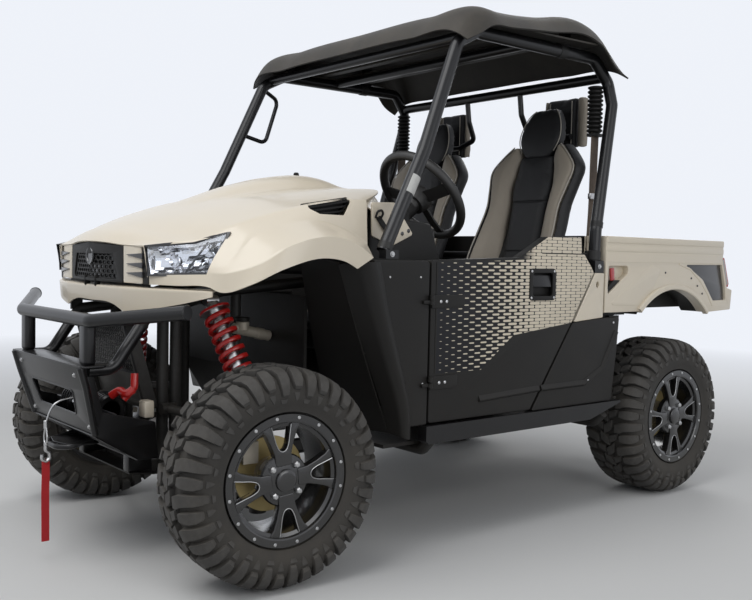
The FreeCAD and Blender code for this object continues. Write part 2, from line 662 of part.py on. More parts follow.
bed_rail = bed_rail.cut(bed_pin).cut(rear_tube)
columns = [rod((x, mm.rail_y, rail_top), (x, mm.rail_y, bed_rail_low), mm.frame_tube)
           for x in (-480, -850, -1080, -1190)]
feature("rear_frame", Part.makeCompound([bed_pin, rear_tube] + [both(piece) for piece in [bed_rail] + columns]))

# Outriggers below the floor, up to the step tubes
under_floor = mm.floor_z - mm.frame_tube
outriggers = [tube([(x, mm.rail_y, rail_top), (x, 260, under_floor), (x, 650, under_floor), (x, 692, 374)],
                   mm.frame_tube, 30).cut(rails[0]).cut(steps) for x in (400, -520)]

# Fixed lip below the grille and the lamps: inner ledge, fold and lower edge, each from the middle out
LIP = [
    [(1240, 0, 866), (1238, 150, 866), (1234, 222, 866), (1216, 330, 866), (1175, 440, 866), (1125, 535, 866)],
    [(1284, 0, 862), (1280, 170, 862), (1277, 222, 862), (1252, 345, 862), (1208, 468, 862), (1158, 570, 862)],
    [(1280, 0, 806), (1275, 170, 806), (1271, 222, 786), (1247, 345, 800), (1206, 465, 820), (1160, 570, 846)],
]
lip = [skin(whole(LIP), mm.panel_wall)]
pivot = Vector(mm.hood_pivot_x, 0, mm.hood_pivot_z)
for y in (mm.hood_ear_y, -mm.hood_ear_y):
    lip.append(block((pivot.x - 8, y - 2.5, 861), (pivot.x + 8, y + 2.5, pivot.z)))
    lip.append(rod((pivot.x, y - 2.5, pivot.z), (pivot.x, y + 2.5, pivot.z), 8))
lip = fuse(lip).cut(rod(pivot - Vector(0, 140, 0), pivot + Vector(0, 140, 0), mm.hood_pin_radius + mm.hinge_gap))
feature("front_lip", lip)

# Front bumper: top hoop, two posts, leaning plate with its winch opening, side plates and braces
hoop = tube([(1251, 598, 805), (1402, 290, 765), (1402, -290, 765), (1251, -598, 805)], mm.hoop_tube, 60)
bumper = [hoop]
plate_top, plate_low = (1436, 632), (1372, 415)
PLATE = [(300, 632), (300, 560), (262, 415), (-262, 415), (-300, 560), (-300, 632)]


def on_plate(y, z, out=0):
    """A point on the leaning front face of the bumper."""
    lean = (z - plate_low[1]) / (plate_top[1] - plate_low[1])
    return (plate_low[0] + lean * (plate_top[0] - plate_low[0]) + out, y, z)


face = slab([on_plate(y, z) for y, z in PLATE], (-mm.plate_wall, 0, 0))
opening = slab([on_plate(y, z, 20) for y, z in ((178, 548), (150, 468), (-150, 468), (-178, 548))], (-60, 0, 0))
bumper.append(face.cut(opening))
bumper.append(block((1350, -298, 626), (1434, 298, 632)))
side = slab([(1434, 0, 630), (1388, 0, 630), (1352, 0, 486), (1180, 0, 442), (1166, 0, 326), (1240, 0, 330),
             (1372, 0, 412)], (0, mm.plate_wall, 0))
side.translate(Vector(0, 258, 0))
bumper += [side, mirror(side)]
strut = block((mm.rail_front_x, rail_inside, mm.rail_z + 8), (mm.rail_front_x + 80, mm.rail_y + half_rail, 331))
bumper += [strut, mirror(strut)]
bumper.append(slab([(1166, 263, 326), (1240, 263, 330), (1240, -263, 330), (1166, -263, 326)], (0, 0, 5)))
bumper.append(slab([(1240, 263, 330), (1376, 263, 414), (1376, -263, 414), (1240, -263, 330)], (0, 0, 5)))
for s in (1, -1):
    y = sorted((s * 226, s * (226 + mm.post_width)))
    bumper.append(block((1378, y[0], 630), (1378 + mm.post_thickness, y[1], 756)))
brace = tube([(1400, 262, 616), (1318, 262, 616), brace_end], mm.frame_tube, 50)
bumper += [brace, mirror(brace)]
bumper.append(tube([(1300, 70, 369), (1405, 70, 352), (1405, -70, 352), (1300, -70, 369)], 9, 40))
bumper = fuse(bumper)
feature("front_bumper", bumper)
front_frame = [damper_tube] + [both(largest(piece.cut(lip).cut(bumper))) for piece in front_frame + outriggers]
feature("front_frame", Part.makeCompound(front_frame))

# Skid plate under the nose
skid_z = mm.rail_z - 5
skid = slab([(1160, 215, skid_z), (560, 215, skid_z), (560, -215, skid_z), (1160, -215, skid_z)], (0, 0, 5))
ramp = slab([(1160, 215, skid_z), (1238, 204, skid_z + 8), (1238, -204, skid_z + 8), (1160, -215, skid_z)],
            (0, 0, 5))
feature("skid_plate", fuse([skid, ramp]))

# Winch: drum between two end housings, fairlead ahead of it
winch = fuse([rod((1275, -mm.winch_length / 2, 470), (1275, mm.winch_length / 2, 470), mm.winch_drum),
              rod((1275, -mm.winch_length / 2, 470), (1275, -70, 470), 50),
              rod((1275, 70, 470), (1275, mm.winch_length / 2, 470), 50),
              block((1215, -258, 415), (1335, 258, 423)),
              block((1320, 88, 418), (1365, 100, 520))])
feature("winch", winch)

# Radiator with its guard, leaning between the front uprights and the bumper
core = slab([(1180, -196, 470), (1180, 196, 470), (1262, 196, 755), (1262, -196, 755)], (-45, 0, 0))
feature("radiator", core)

# Cabin tub: floor, toe board, seat box, rear wall
half = mm.floor_half
wall = mm.floor_wall
TUB = [
    (mm.floor_front_x, mm.floor_z), (mm.floor_front_x + 130, 560), (mm.floor_front_x + 130, 838),
    (mm.floor_front_x + 130 - wall, 838), (mm.floor_front_x + 130 - wall, 563),
    (mm.floor_front_x - 4, mm.floor_z + wall), (mm.seat_base_front_x + wall, mm.floor_z + wall),
    (mm.seat_base_front_x, mm.seat_base_z), (mm.cabin_rear_x + wall, mm.seat_base_z),
    (mm.cabin_rear_x + wall - 30, 960), (mm.cabin_rear_x - 30, 960), (mm.cabin_rear_x, mm.seat_base_z - wall),
    (mm.seat_base_front_x - wall, mm.seat_base_z - wall), (mm.seat_base_front_x, mm.floor_z),
]
tub = slab([(x, -half, z) for x, z in TUB], (0, 2 * half, 0))
narrow = block((mm.front_axle_x - 420, 420, 200), (mm.front_axle_x, 700, 1000))
tub = tub.cut(narrow).cut(mirror(narrow))
feature("floor_tub", tub)

# Hood with its fenders, one moulding.  Columns: crown, shelf, crease, shoulder, upper fold, flare, edge
HOOD = [
    [(1293, 0, 1003), (1285, 110, 1000), (1268, 205, 992), (1258, 330, 990), (1254, 335, 950), (1250, 340, 910),
     (1247, 340, 874)],
    [(1262, 0, 1033), (1255, 112, 1030), (1236, 220, 1022), (1195, 415, 1003), (1200, 430, 955), (1203, 440, 912),
     (1205, 450, 874)],
    [(1215, 0, 1056), (1205, 115, 1053), (1185, 232, 1042), (1125, 480, 1018), (1150, 520, 960), (1160, 545, 915),
     (1165, 560, 874)],
    [(1130, 0, 1085), (1125, 120, 1082), (1110, 255, 1073), (1070, 512, 1049), (1105, 582, 958), (1138, 610, 916),
     (1148, 600, 858)],
    [(1040, 0, 1114), (1040, 125, 1110), (1030, 280, 1102), (985, 532, 1082), (1040, 594, 1018), (1062, 678, 940),
     (1090, 672, 884)],
    [(900, 0, 1162), (900, 150, 1155), (880, 300, 1151), (850, 550, 1119), (933, 602, 1068), (984, 711, 995),
     (1008, 712, 927)],
    [(744, 0, 1221), (744, 155, 1186), (740, 312, 1183), (720, 557, 1143), (831, 604, 1079), (867, 729, 1026),
     (862, 727, 961)],
    [(600, 0, 1257), (600, 155, 1203), (600, 330, 1198), (640, 560, 1155), (700, 603, 1067), (774, 731, 1015),
     (793, 729, 950)],
    [(345, 0, 1232), (350, 150, 1222), (380, 345, 1209), (592, 561, 1158), (604, 606, 1008), (690, 724, 966),
     (752, 725, 936)],
]
hood = skin(whole(HOOD), mm.panel_wall)
LAMP = [(1138, 528, 910), (1250, 352, 902), (1262, 352, 988), (1150, 450, 1003), (1082, 528, 1034)]
inward = Vector(-0.86, -0.5, 0)
lamp_opening = lens([Vector(*p) - inward * 60 for p in LAMP], inward * 150)
VENT = [(835, 1122), (645, 1157), (698, 1099), (797, 1099)]
vent_opening = slab([(x, 500, z) for x, z in VENT], (0, 130, 0))
for cutter in (lamp_opening, vent_opening):
    hood = hood.cut(cutter).cut(mirror(cutter))
hood = largest(hood)
feature("hood", hood)

# Headlights and grille, which lift with the hood
centre = sum((Vector(*p) for p in LAMP), Vector()) * (1 / len(LAMP))
bowl = lens([centre + (Vector(*p) - centre) * 0.88 - inward * 2 for p in LAMP], inward * 42)
divider = lens([Vector(1236, 400, 908), Vector(1241, 392, 908), Vector(1196, 420, 996), Vector(1190, 427, 996)],
               inward * 52)
feature("headlights", both(lens(LAMP, inward * 60).cut(bowl).fuse(divider.common(lens(LAMP, inward * 60)))))
grille = slab([(1265, 204, 990), (1265, 204, 874), (1291, 0, 876), (1291, 0, 1001)], (-24, 0, 0))
slot = block((1200, mm.hood_ear_y - 8, 860), (1320, mm.hood_ear_y + 8, pivot.z + 14))
pin = rod(pivot + Vector(0, mm.hood_ear_y - 12, 0), pivot + Vector(0, mm.hood_ear_y + 12, 0), mm.hood_pin_radius)
face_slope = (1265 - 1291) / 204
pocket = slab([(1296 + 188 * face_slope, 188, 980), (1296 + 188 * face_slope, 188, 906), (1296, 0, 906), (1296, 0, 990)],
              (-17, 0, 0))
cells = []
for row in range(3):
    for column in range(8):
        y, z = 12 + 24 * column + 12 * (row % 2), 919 + 23 * row
        if y < 178:
            ring = [(1300, y + 10 * math.sin(math.radians(60 * k)), z + 10 * math.cos(math.radians(60 * k)))
                    for k in range(6)]
            cells.append(slab(ring, (-80, 0, 0)))
badge = rod((1273, 0, 945), (1288, 0, 945), 24)
grille = grille.cut(slot).cut(pocket).cut(Part.makeCompound(cells)).fuse([pin, badge])
feature("grille", grille.fuse(mirror(grille)).removeSplitter().cut(hood))

# Black mudguards behind the front wheels, with the pillar panels that carry the door hinges
band = slab([(728, 0, 948), (660, 0, 950), (505, 0, 384), (532, 0, 392), (560, 0, 470), (640, 0, 700)], (0, 80, 0))
band.translate(Vector(0, 630, 0))
pillar = slab([(668, 0, 966), (431, 0, 966), (431, 0, 420), (520, 0, 420)], (0, 40, 0))
pillar.translate(Vector(0, 655, 0))
pin_x = mm.door_front_x + mm.door_gap / 2
pin_y = mm.door_plane_y + 8
hinge_low = []
hinge_door = []
for z in (549, 821):
    hinge_low.append(fuse([
        rod((pin_x, pin_y, z), (pin_x, pin_y, z + 12), 8),
        block((pin_x, 690, z), (pin_x + 18, pin_y + 8, z + 12)),
        rod((pin_x, pin_y, z), (pin_x, pin_y, z + 36), 5),
    ]))
    hinge_door.append(fuse([
        rod((pin_x, pin_y, z + 12.3), (pin_x, pin_y, z + 36), 8),
        block((pin_x - 34, mm.door_plane_y, z + 12.3), (pin_x - 4, pin_y - 2, z + 36)),
    ]).cut(rod((pin_x, pin_y, z), (pin_x, pin_y, z + 40), 5 + mm.hinge_gap)))
feature("mudguards", both(fuse([band.cut(pillar), pillar] + hinge_low)))

# Doors: columns x, z of the outline
DOOR = [(424, 964), (0, 978), (-152, 1056), (-344, 1060), (-350, 1000), (-364, 996), (-413, 945), (-426, 926),
        (-300, 739), (-76, 428), (424, 428)]
for side, sign in SIDES:
    door = doc.addObject("PartDesign::Body", "door_panel_" + side)
    corners = [(f"door_front_x + {x - 424}", str(z)) for x, z in DOOR]
    pad(door, profile(door, "XZ_Plane", corners), "door_wall", reverse=sign < 0)
    place(door, y=f"{sign} * door_plane_y")
    recess = box("latch_recess_" + side, ("door_front_x - 626", f"{sign} * door_plane_y - 6", "836"),
                 ("142", "12", "112"))
    paddle = box("latch_paddle_" + side, ("door_front_x - 600", f"{sign} * (door_plane_y - 4) - 3", "871"),
                 ("100", "6", "43"))
    carved = join("door_carved_" + side, "Part::Cut", [door, recess])
    hinges = doc.addObject("Part::Feature", "door_hinges_" + side)
    leaves = Part.makeCompound(hinge_door)
    hinges.Shape = leaves if sign > 0 else mirror(leaves)
    node(join("door_" + side, "Part::MultiFuse", [carved, paddle, hinges]), "door_" + side)

# Cream quarter panels and black lower side panels behind the doors
quarter = slab([(-438, 0, 926), (-488, 0, 926), (-488, 0, 752), (-314, 0, 739)], (0, 36, 0))
quarter.translate(Vector(0, 662, 0))
feature("quarter_panels", both(quarter))
low = slab([(-307, 0, 735), (-314, 0, 739), (-488, 0, 752), (-600, 0, 752), (-585, 0, 600), (-560, 0, 420),
            (-86, 0, 420)], (0, 40, 0))
low.translate(Vector(0, 660, 0))
feature("side_panels", both(low))

# Dash with the steering column, and the cream cowl corners
tilt = math.radians(mm.wheel_tilt)
column_line = Vector(math.cos(tilt), 0, -math.sin(tilt))
hub_point = Vector(mm.steering_x, mm.seat_y + 20, mm.steering_z)
DASH = [(300, mm.dash_z), (560, mm.dash_z + 20), (590, 900), (330, 900), (250, 960)]
dash = slab([(x, -560, z) for x, z in DASH], (0, 1120, 0))
column = rod(hub_point + column_line * 60, hub_point + column_line * 300, 28)
bore = rod(hub_point + column_line * 59, hub_point + column_line * 125, 10 + mm.hinge_gap)
feature("dash", fuse([dash, column]).cut(bore))
cowl = slab([(572, 0, 1148), (470, 0, 1150), (390, 0, 1046), (480, 0, 1008), (570, 0, 1040)], (0, 5, 0))
cowl.translate(Vector(0, 560, 0))
feature("cowl_panels", both(cowl))

# Steering wheel: rim, three spokes and hub
rim_ring = Part.makeTorus(mm.steering_radius, mm.steering_grip, hub_point, column_line)
spokes = [rod(hub_point + column_line * 18, hub_point + Vector(-math.sin(tilt) * math.cos(a),
                                                             math.sin(a),
                                                             -math.cos(tilt) * math.cos(a)) * mm.steering_radius, 11)
          for a in (math.radians(0), math.radians(100), math.radians(-100))]
hub = rod(hub_point + column_line * -8, hub_point + column_line * 54, 48)
shaft = rod(hub_point, hub_point + column_line * 120, 10)
feature("steering_wheel", fuse([rim_ring, hub, shaft] + spokes))

# Roof.  Columns: crown, inner shoulder, outer shoulder, flange
ROOF = [
    [(285, 0, 1752), (285, 400, 1748), (275, 640, 1730), (262, 672, 1706)],
    [(240, 0, 1812), (240, 400, 1808), (225, 640, 1796), (212, 684, 1732)],
    [(160, 0, 1850), (160, 400, 1848), (160, 645, 1824), (158, 690, 1766)],
    [(60, 0, 1852), (60, 400, 1850), (60, 645, 1824), (58, 690, 1776)],
    [(-154, 0, 1872), (-154, 400, 1868), (-154, 645, 1842), (-154, 690, 1797)],
    [(-370, 0, 1892), (-370, 400, 1888), (-370, 645, 1872), (-380, 690, 1814)],
    [(-450, 0, 1880), (-450, 400, 1876), (-450, 645, 1852), (-455, 694, 1786)],
    [(-530, 0, 1818), (-530, 400, 1814), (-530, 650, 1790), (-530, 700, 1716)],
    [(-596, 0, 1740), (-596, 400, 1736), (-596, 655, 1716), (-600, 703, 1690)],
]
roof = skin(whole(ROOF), 6)
feature("roof", roof)

# Roll cage: front pillars run back as roof rails; the rear hoop leans back and in
rail_joint = (-380, 600, 1764)
pillar_line = tube([(600, 662, 990), (417, 642, 1325), (245, 610, 1712), (150, 600, 1760), rail_joint],
                   mm.cage_tube, 70)
cage_front = [pillar_line, mirror(pillar_line), rod((215, -600, 1735), (215, 600, 1735), 18),
              rod((-150, -600, 1768), (-150, 600, 1768), 18)]
grab = tube([(235, -612, 1690), (150, -640, 1660), (215, -640, 1465), (330, -640, 1490)], 9, 30)
cage_front.append(grab)
feet = block((560, 655, 966), (612, 690, 994))
cage_front += [feet, mirror(feet)]
for x in (110, -330):
    for y in (588, -612):
        stud = block((x - 20, y, 1770), (x + 20, y + 24, 1900)).cut(roof)
        cage_front.append(min(stud.Solids, key=lambda solid: solid.CenterOfMass.z))
feature("cage_front", fuse(cage_front))
rear_line = tube([(-458, 672, 930), (-470, 668, 1090), (-592, 634, 1590), (-590, 612, 1680), (-512, 600, 1765),
                  rail_joint], mm.cage_tube, 50)
centre_line = tube([(-577, 160, 1692), (-590, 160, 1600), (-632, 165, 1520), (-632, 260, 1490), (-632, 400, 1490)],
                   12, 30)
cage_rear = [rear_line, mirror(rear_line), centre_line, mirror(centre_line),
             rod((-577, -615, 1700), (-577, 615, 1700), 20), rod((-474, -655, 985), (-474, 655, 985), 17)]
base = block((-488, 640, 926), (-434, 698, 972))
cage_rear += [base, mirror(base)]
feature("cage_rear", fuse(cage_rear))

# Seats: cushion and back in one padded solid each, and the head pads behind them
SEAT = [(40, mm.seat_base_z), (150, 600), (190, 690), (150, 722), (-150, 700), (-225, 760), (-520, 1560),
        (-555, 1606), (-606, 1606), (-612, 1560), (-400, 800), (-370, mm.seat_base_z)]
for side, sign in SIDES:
    seat = slab([(x, sign * mm.seat_y - mm.seat_width / 2, z) for x, z in SEAT], (0, mm.seat_width, 0))
    for edge in (1, -1):
        y = sorted((sign * mm.seat_y + edge * 145, sign * mm.seat_y + edge * 300))
        seat = seat.cut(block((-700, y[0], 1290), (0, y[1], 1700)))
    feature("seat_" + side, seat)
pads = block((-694, mm.seat_y - 75, 1445), (-644, mm.seat_y + 135, 1660))
feature("head_pads", both(pads))
retractor = rod((-556, 582, 1490), (-556, 582, 1680), 22)
feature("belt_retractors", both(retractor))
cylinder_y = mm.rail_y + mm.frame_tube + 20
cylinder = fuse([rod((735, cylinder_y, 690), (880, cylinder_y, 722), 20),
                 rod((846, cylinder_y + 6, 712), (846, cylinder_y + 6, 758), 24)])
feature("brake_cylinder", cylinder)

# Cargo bed: open box on two beams, hinged at the back
low_z = mm.bed_floor_z - mm.bed_wall
bed = block((mm.bed_rear_x, -mm.bed_inner_half - mm.bed_wall, low_z),
            (mm.bed_front_x, mm.bed_inner_half + mm.bed_wall, mm.bed_top_z))
bed = bed.cut(block((mm.bed_rear_x - 1, -mm.bed_inner_half, mm.bed_floor_z),
                    (mm.bed_front_x - mm.bed_wall, mm.bed_inner_half, mm.bed_top_z + 1)))
beams = []
for s in (1, -1):
    y = sorted((s * (mm.rail_y - 20), s * (mm.rail_y + 20)))
    beams.append(block((mm.bed_rear_x + 20, y[0], mm.bed_pivot_z + 21), (mm.bed_front_x - 20, y[1], low_z)))
    y = sorted((s * (mm.rail_y - 10), s * (mm.rail_y + 10)))
    lug = block((mm.bed_pivot_x - 22, y[0], mm.bed_pivot_z), (mm.bed_pivot_x + 22, y[1], mm.bed_pivot_z + 22))
    lug = lug.fuse(rod((mm.bed_pivot_x, y[0], mm.bed_pivot_z), (mm.bed_pivot_x, y[1], mm.bed_pivot_z), 22))
    beams.append(lug.cut(rod((mm.bed_pivot_x, -300, mm.bed_pivot_z), (mm.bed_pivot_x, 300, mm.bed_pivot_z), 10.5)))
gate_low = mm.bed_floor_z + mm.gate_gap
gate_half = mm.bed_inner_half - mm.gate_gap
gate_x = mm.bed_rear_x - mm.gate_gap
gate_pin = Vector(gate_x - mm.gate_wall / 2, 0, gate_low + 14)
for s in (1, -1):
    y = sorted((s * mm.bed_inner_half, s * (mm.bed_inner_half + 12)))
    ear = block((gate_pin.x - 14, y[0], gate_pin.z - 18), (mm.bed_rear_x, y[1], gate_pin.z + 18))
    beams.append(ear.cut(rod(gate_pin - Vector(0, 700, 0), gate_pin + Vector(0, 700, 0), 8 + mm.hinge_gap)))
feature("bed_box", fuse([bed] + beams))

# Bed fenders: top rail, outer skin with its arch, rear corner
OUTER = [(mm.bed_front_x, mm.bed_low_z), (mm.bed_front_x, mm.bed_top_z), (mm.bed_rear_x, mm.bed_top_z),
         (mm.bed_rear_x - 2, 1000), (mm.bed_rear_x - 50, 860), (mm.bed_rear_x - 84, 852), (mm.bed_rear_x - 74, 764),
         (mm.bed_rear_x + 100, 757)]
fender = slab([(x, mm.bed_inner_half + mm.bed_wall, z) for x, z in OUTER],
              (0, bed_half - mm.bed_inner_half - mm.bed_wall, 0))
inside = block((mm.bed_rear_x - 60, mm.bed_inner_half + mm.bed_wall + 4, mm.bed_low_z - 20),
               (mm.bed_front_x - 20, bed_half - mm.panel_wall, mm.bed_top_z - 40))
arch = rod((mm.rear_axle_x, 500, mm.arch_z), (mm.rear_axle_x, 760, mm.arch_z), mm.arch_radius)
flare = rod((mm.rear_axle_x, bed_half - 20, mm.arch_z), (mm.rear_axle_x, bed_half + 16, mm.arch_z),
            mm.arch_radius + mm.flare_width)
keep = block((mm.rear_axle_x - 400, 600, mm.bed_low_z), (mm.rear_axle_x + 400, 760, 1000))
lamp_rear = slab([(mm.bed_rear_x + 6, 0, 1002), (mm.bed_rear_x - 22, 0, 996), (mm.bed_rear_x - 66, 0, 880),
                  (mm.bed_rear_x - 60, 0, 864), (mm.bed_rear_x - 42, 0, 864)], (0, 90, 0))
lamp_rear.translate(Vector(0, bed_half - mm.panel_wall - 90, 0))
fender = fuse([fender.cut(inside), flare.common(keep)]).cut(arch).cut(lamp_rear)
feature("bed_fenders", both(fender))
feature("tail_lights", both(lamp_rear))

# Tailgate between the bed sides, hinged along its lower edge
gate = block((gate_x - mm.gate_wall, -gate_half, gate_low), (gate_x, gate_half, mm.bed_top_z))
handle_x = gate_x - mm.gate_wall
handle = tube([(handle_x + 2, -70, 1015), (handle_x - 30, -70, 1015), (handle_x - 30, 70, 1015),
               (handle_x + 2, 70, 1015)], 7, 12)
pin_half = mm.bed_inner_half + 11
pins = rod(gate_pin - Vector(0, pin_half, 0), gate_pin + Vector(0, pin_half, 0), 8)
feature("tailgate", fuse([gate, handle, pins]))

# Winch cable with its hook and the red pull strap: routes chosen by hand
CABLE = [(1365, 94, 512), (1420, 96, 510), (1452, 92, 478), (1458, 84, 432)]
feature("winch_cable", tube(CABLE, mm.cable_radius, None))
hook = rod((1458, 84, 431), (1458, 84, 330), 7)
feature("winch_hook", hook)
feature("pull_strap", block((1446, 82.5, 66), (1471, 85.5, 330)))

bad = []
doc.recompute()
for thing in doc.Objects:
    if {"Invalid", "Error"} & set(thing.State):
        bad.append(thing.Label)
for thing in NODES:
    if thing.Shape.isNull() or not thing.Shape.isValid():
        bad.append(thing.Label + " shape")
if bad:
    raise RuntimeError("broken: " + ", ".join(bad))
for thing in NODES:
    thing.Shape.exportStep(f"parts/{thing.Label}.step")
    print(thing.Label, len(thing.Shape.Solids), round(thing.Shape.Volume / 1000), "cm3")
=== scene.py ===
# %% [markdown]
# # Side by side utility vehicle
# A two-seat vehicle with moulded cream panels, a tube cage, a tilting bed and big lugged tyres.
# Lengths are written in millimetres and turned into metres when a piece is finished.
# +X is forward, +Y is left, the ground is z = 0.

# %% Load the frame
import math

import bmesh
import bpy
from mathutils import Matrix, Vector, noise


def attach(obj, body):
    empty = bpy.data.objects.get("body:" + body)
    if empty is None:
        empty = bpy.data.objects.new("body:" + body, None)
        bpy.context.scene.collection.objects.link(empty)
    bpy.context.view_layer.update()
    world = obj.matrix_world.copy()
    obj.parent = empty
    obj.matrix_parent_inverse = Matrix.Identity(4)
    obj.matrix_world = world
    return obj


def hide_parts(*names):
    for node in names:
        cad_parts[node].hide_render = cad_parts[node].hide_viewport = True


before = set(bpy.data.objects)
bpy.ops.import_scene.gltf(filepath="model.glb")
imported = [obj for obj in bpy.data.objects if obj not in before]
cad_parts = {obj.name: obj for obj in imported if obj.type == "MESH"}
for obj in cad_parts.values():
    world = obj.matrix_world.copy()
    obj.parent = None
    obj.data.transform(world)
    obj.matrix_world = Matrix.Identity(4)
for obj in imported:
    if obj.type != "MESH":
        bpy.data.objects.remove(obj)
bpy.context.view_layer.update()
scene = bpy.context.scene
print("nodes", len(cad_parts))

# %% [markdown]
# ## Tools for the meshes
# Every panel, tube and turned part below is made by a handful of small functions:
# a lathe, a sweep along a path, a plate cut from an outline and a skin stretched over a table of points.
# Keeping them general means a change of a number changes the piece.

# %% Mesh helpers
def to_bmesh(obj):
    """The object's shape with its modifiers worked out."""
    graph = bpy.context.evaluated_depsgraph_get()
    result = bmesh.new()
    shown = obj.evaluated_get(graph)
    result.from_mesh(shown.to_mesh())
    shown.to_mesh_clear()
    data = obj.data
    bpy.data.objects.remove(obj)
    if isinstance(data, bpy.types.Mesh):
        bpy.data.meshes.remove(data)
    else:
        bpy.data.curves.remove(data)
    return result


def modified(bm, *modifiers):
    """The mesh after these modifiers."""
    mesh = bpy.data.meshes.new("work")
    bm.to_mesh(mesh)
    obj = bpy.data.objects.new("work", mesh)
    scene.collection.objects.link(obj)
    for kind, values in modifiers:
        modifier = obj.modifiers.new(kind.title(), kind)
        for name, value in values.items():
            setattr(modifier, name, value)
    return to_bmesh(obj)


def carved(bm, *cutters):
    """The mesh with each cutter taken out of it."""
    tools = []
    for cutter in cutters:
        mesh = bpy.data.meshes.new("cutter")
        cutter.to_mesh(mesh)
        tool = bpy.data.objects.new("cutter", mesh)
        scene.collection.objects.link(tool)
        tools.append(tool)
    result = modified(bm, *[("BOOLEAN", {"operation": "DIFFERENCE", "object": tool}) for tool in tools])
    for tool in tools:
        bpy.data.objects.remove(tool)
    return result


def merged(parts):
    """Several meshes in one."""
    result = bmesh.new()
    for part in parts:
        mesh = bpy.data.meshes.new("work")
        part.to_mesh(mesh)
        result.from_mesh(mesh)
        bpy.data.meshes.remove(mesh)
    return result


def moved(bm, matrix):
    """A copy set in another place."""
    result = bm.copy()
    bmesh.ops.transform(result, matrix=matrix, verts=result.verts)
    if matrix.determinant() < 0:
        bmesh.ops.reverse_faces(result, faces=result.faces)
    return result


def mirrored(bm):
    """The same part on the other side."""
    return moved(bm, Matrix.Scale(-1, 4, Vector((0, 1, 0))))


SIDES = (("left", lambda bm: bm), ("right", mirrored))


def both(bm):
    """Left and right copies."""
    return merged([bm, mirrored(bm)])


def turned(degrees, axis):
    """A turn about an axis through the origin."""
    return Matrix.Rotation(math.radians(degrees), 4, axis)


def placed(bm, at, degrees=0, axis="X"):
    """A copy turned about an axis and then set at a point."""
    return moved(bm, Matrix.Translation(at) @ turned(degrees, axis))


def rect(wide, high, centre=(0, 0)):
    """The corners of a rectangle given by its half width and half height."""
    u, v = centre
    return [(u - wide, v - high), (u + wide, v - high), (u + wide, v + high), (u - wide, v + high)]


def on_circle(centre, radius, degrees):
    """A flat point at an angle round a centre."""
    a = math.radians(degrees)
    return centre[0] + radius * math.cos(a), centre[1] + radius * math.sin(a)


def bridged(bm, rings, closed=False):
    """Quads between neighbouring rings; the ends are capped unless the last ring joins the first."""
    pairs = list(zip(rings, rings[1:]))
    if closed:
        pairs.append((rings[-1], rings[0]))
    for one, two in pairs:
        for j in range(len(one)):
            k = (j + 1) % len(one)
            bm.faces.new((one[j], one[k], two[k], two[j]))
    if not closed:
        bm.faces.new(list(reversed(rings[0])))
        bm.faces.new(rings[-1])
    bmesh.ops.recalc_face_normals(bm, faces=bm.faces)
    return bm


# %% [markdown]
# ### Lathe, sweep and box
# The lathe turns a profile of (along, radius) pairs about the Y axis.
# The sweep carries a section along a path and turns it with the path, so a tube never pinches.

# %% Lathe, bar, bolt, box and sweep
def lathe(profile, steps):
    """A turned part about the Y axis from (y, radius) pairs."""
    bm = bmesh.new()
    rings = []
    for y, radius in profile:
        if radius < 1e-6:
            rings.append([bm.verts.new((0, y, 0))])
            continue
        rings.append([bm.verts.new((radius * math.sin(math.tau * i / steps), y,
                                    radius * math.cos(math.tau * i / steps))) for i in range(steps)])
    for one, two in zip(rings, rings[1:]):
        for i in range(steps):
            j = (i + 1) % steps
            corners = [one[i % len(one)], one[j % len(one)], two[j % len(two)], two[i % len(two)]]
            corners = list(dict.fromkeys(corners))
            if len(corners) > 2:
                bm.faces.new(corners)
    bmesh.ops.recalc_face_normals(bm, faces=bm.faces)
    return bm


def along(start, end):
    """The matrix that lays the Y axis on the line from start to end."""
    line = Vector(end) - Vector(start)
    return Matrix.Translation(Vector(start)) @ line.to_track_quat("Y", "Z").to_matrix().to_4x4()


def bar(start, end, radius, edge, steps=32):
    """A round bar with softened ends."""
    length = (Vector(end) - Vector(start)).length
    profile = [(0, 0), (0, radius - edge), (edge, radius), (length - edge, radius), (length, radius - edge),
               (length, 0)]
    return moved(lathe(profile, steps), along(start, end))


def bolt(at, direction, size):
    """A hexagon head on a washer, standing on a surface."""
    start = Vector(at)
    direction = Vector(direction).normalized()
    head = [(0, 0), (0, size * 0.58), (size * 0.45, size * 0.58), (size * 0.55, size * 0.48),
            (size * 0.55, 0)]
    flat = [(-0.5, 0), (-0.5, size * 0.85), (size * 0.1, size * 0.85), (size * 0.16, size * 0.78),
            (size * 0.16, 0)]
    return moved(merged([lathe(head, 6), lathe(flat, 20)]), along(start, start + direction))


def box(low, high, edge, segments=2):
    """A box with rounded edges."""
    low, high = Vector(low), Vector(high)
    bm = bmesh.new()
    bmesh.ops.create_cube(bm, size=1)
    size = high - low
    bmesh.ops.scale(bm, vec=size, verts=bm.verts)
    bmesh.ops.translate(bm, vec=(low + high) / 2, verts=bm.verts)
    edge = min(edge, min(size) * 0.45)
    bmesh.ops.bevel(bm, geom=bm.edges, offset=edge, segments=segments, profile=0.5, affect="EDGES")
    return bm


ARC_STEPS = 6


def fillet(points, bend):
    """The path with its corners rounded by arcs."""
    points = [Vector(p) for p in points]
    result = [points[0]]
    for before, corner, after in zip(points, points[1:], points[2:]):
        back = (before - corner).normalized()
        ahead = (after - corner).normalized()
        half = back.angle(ahead) / 2
        setback = min(bend / math.tan(half), 0.48 * (before - corner).length, 0.48 * (after - corner).length)
        radius = setback * math.tan(half)
        centre = corner + (back + ahead).normalized() * (radius / math.sin(half))
        first = corner + back * setback - centre
        last = corner + ahead * setback - centre
        for i in range(ARC_STEPS + 1):
            result.append(centre + first.slerp(last, i / ARC_STEPS) * radius)
    result.append(points[-1])
    return result


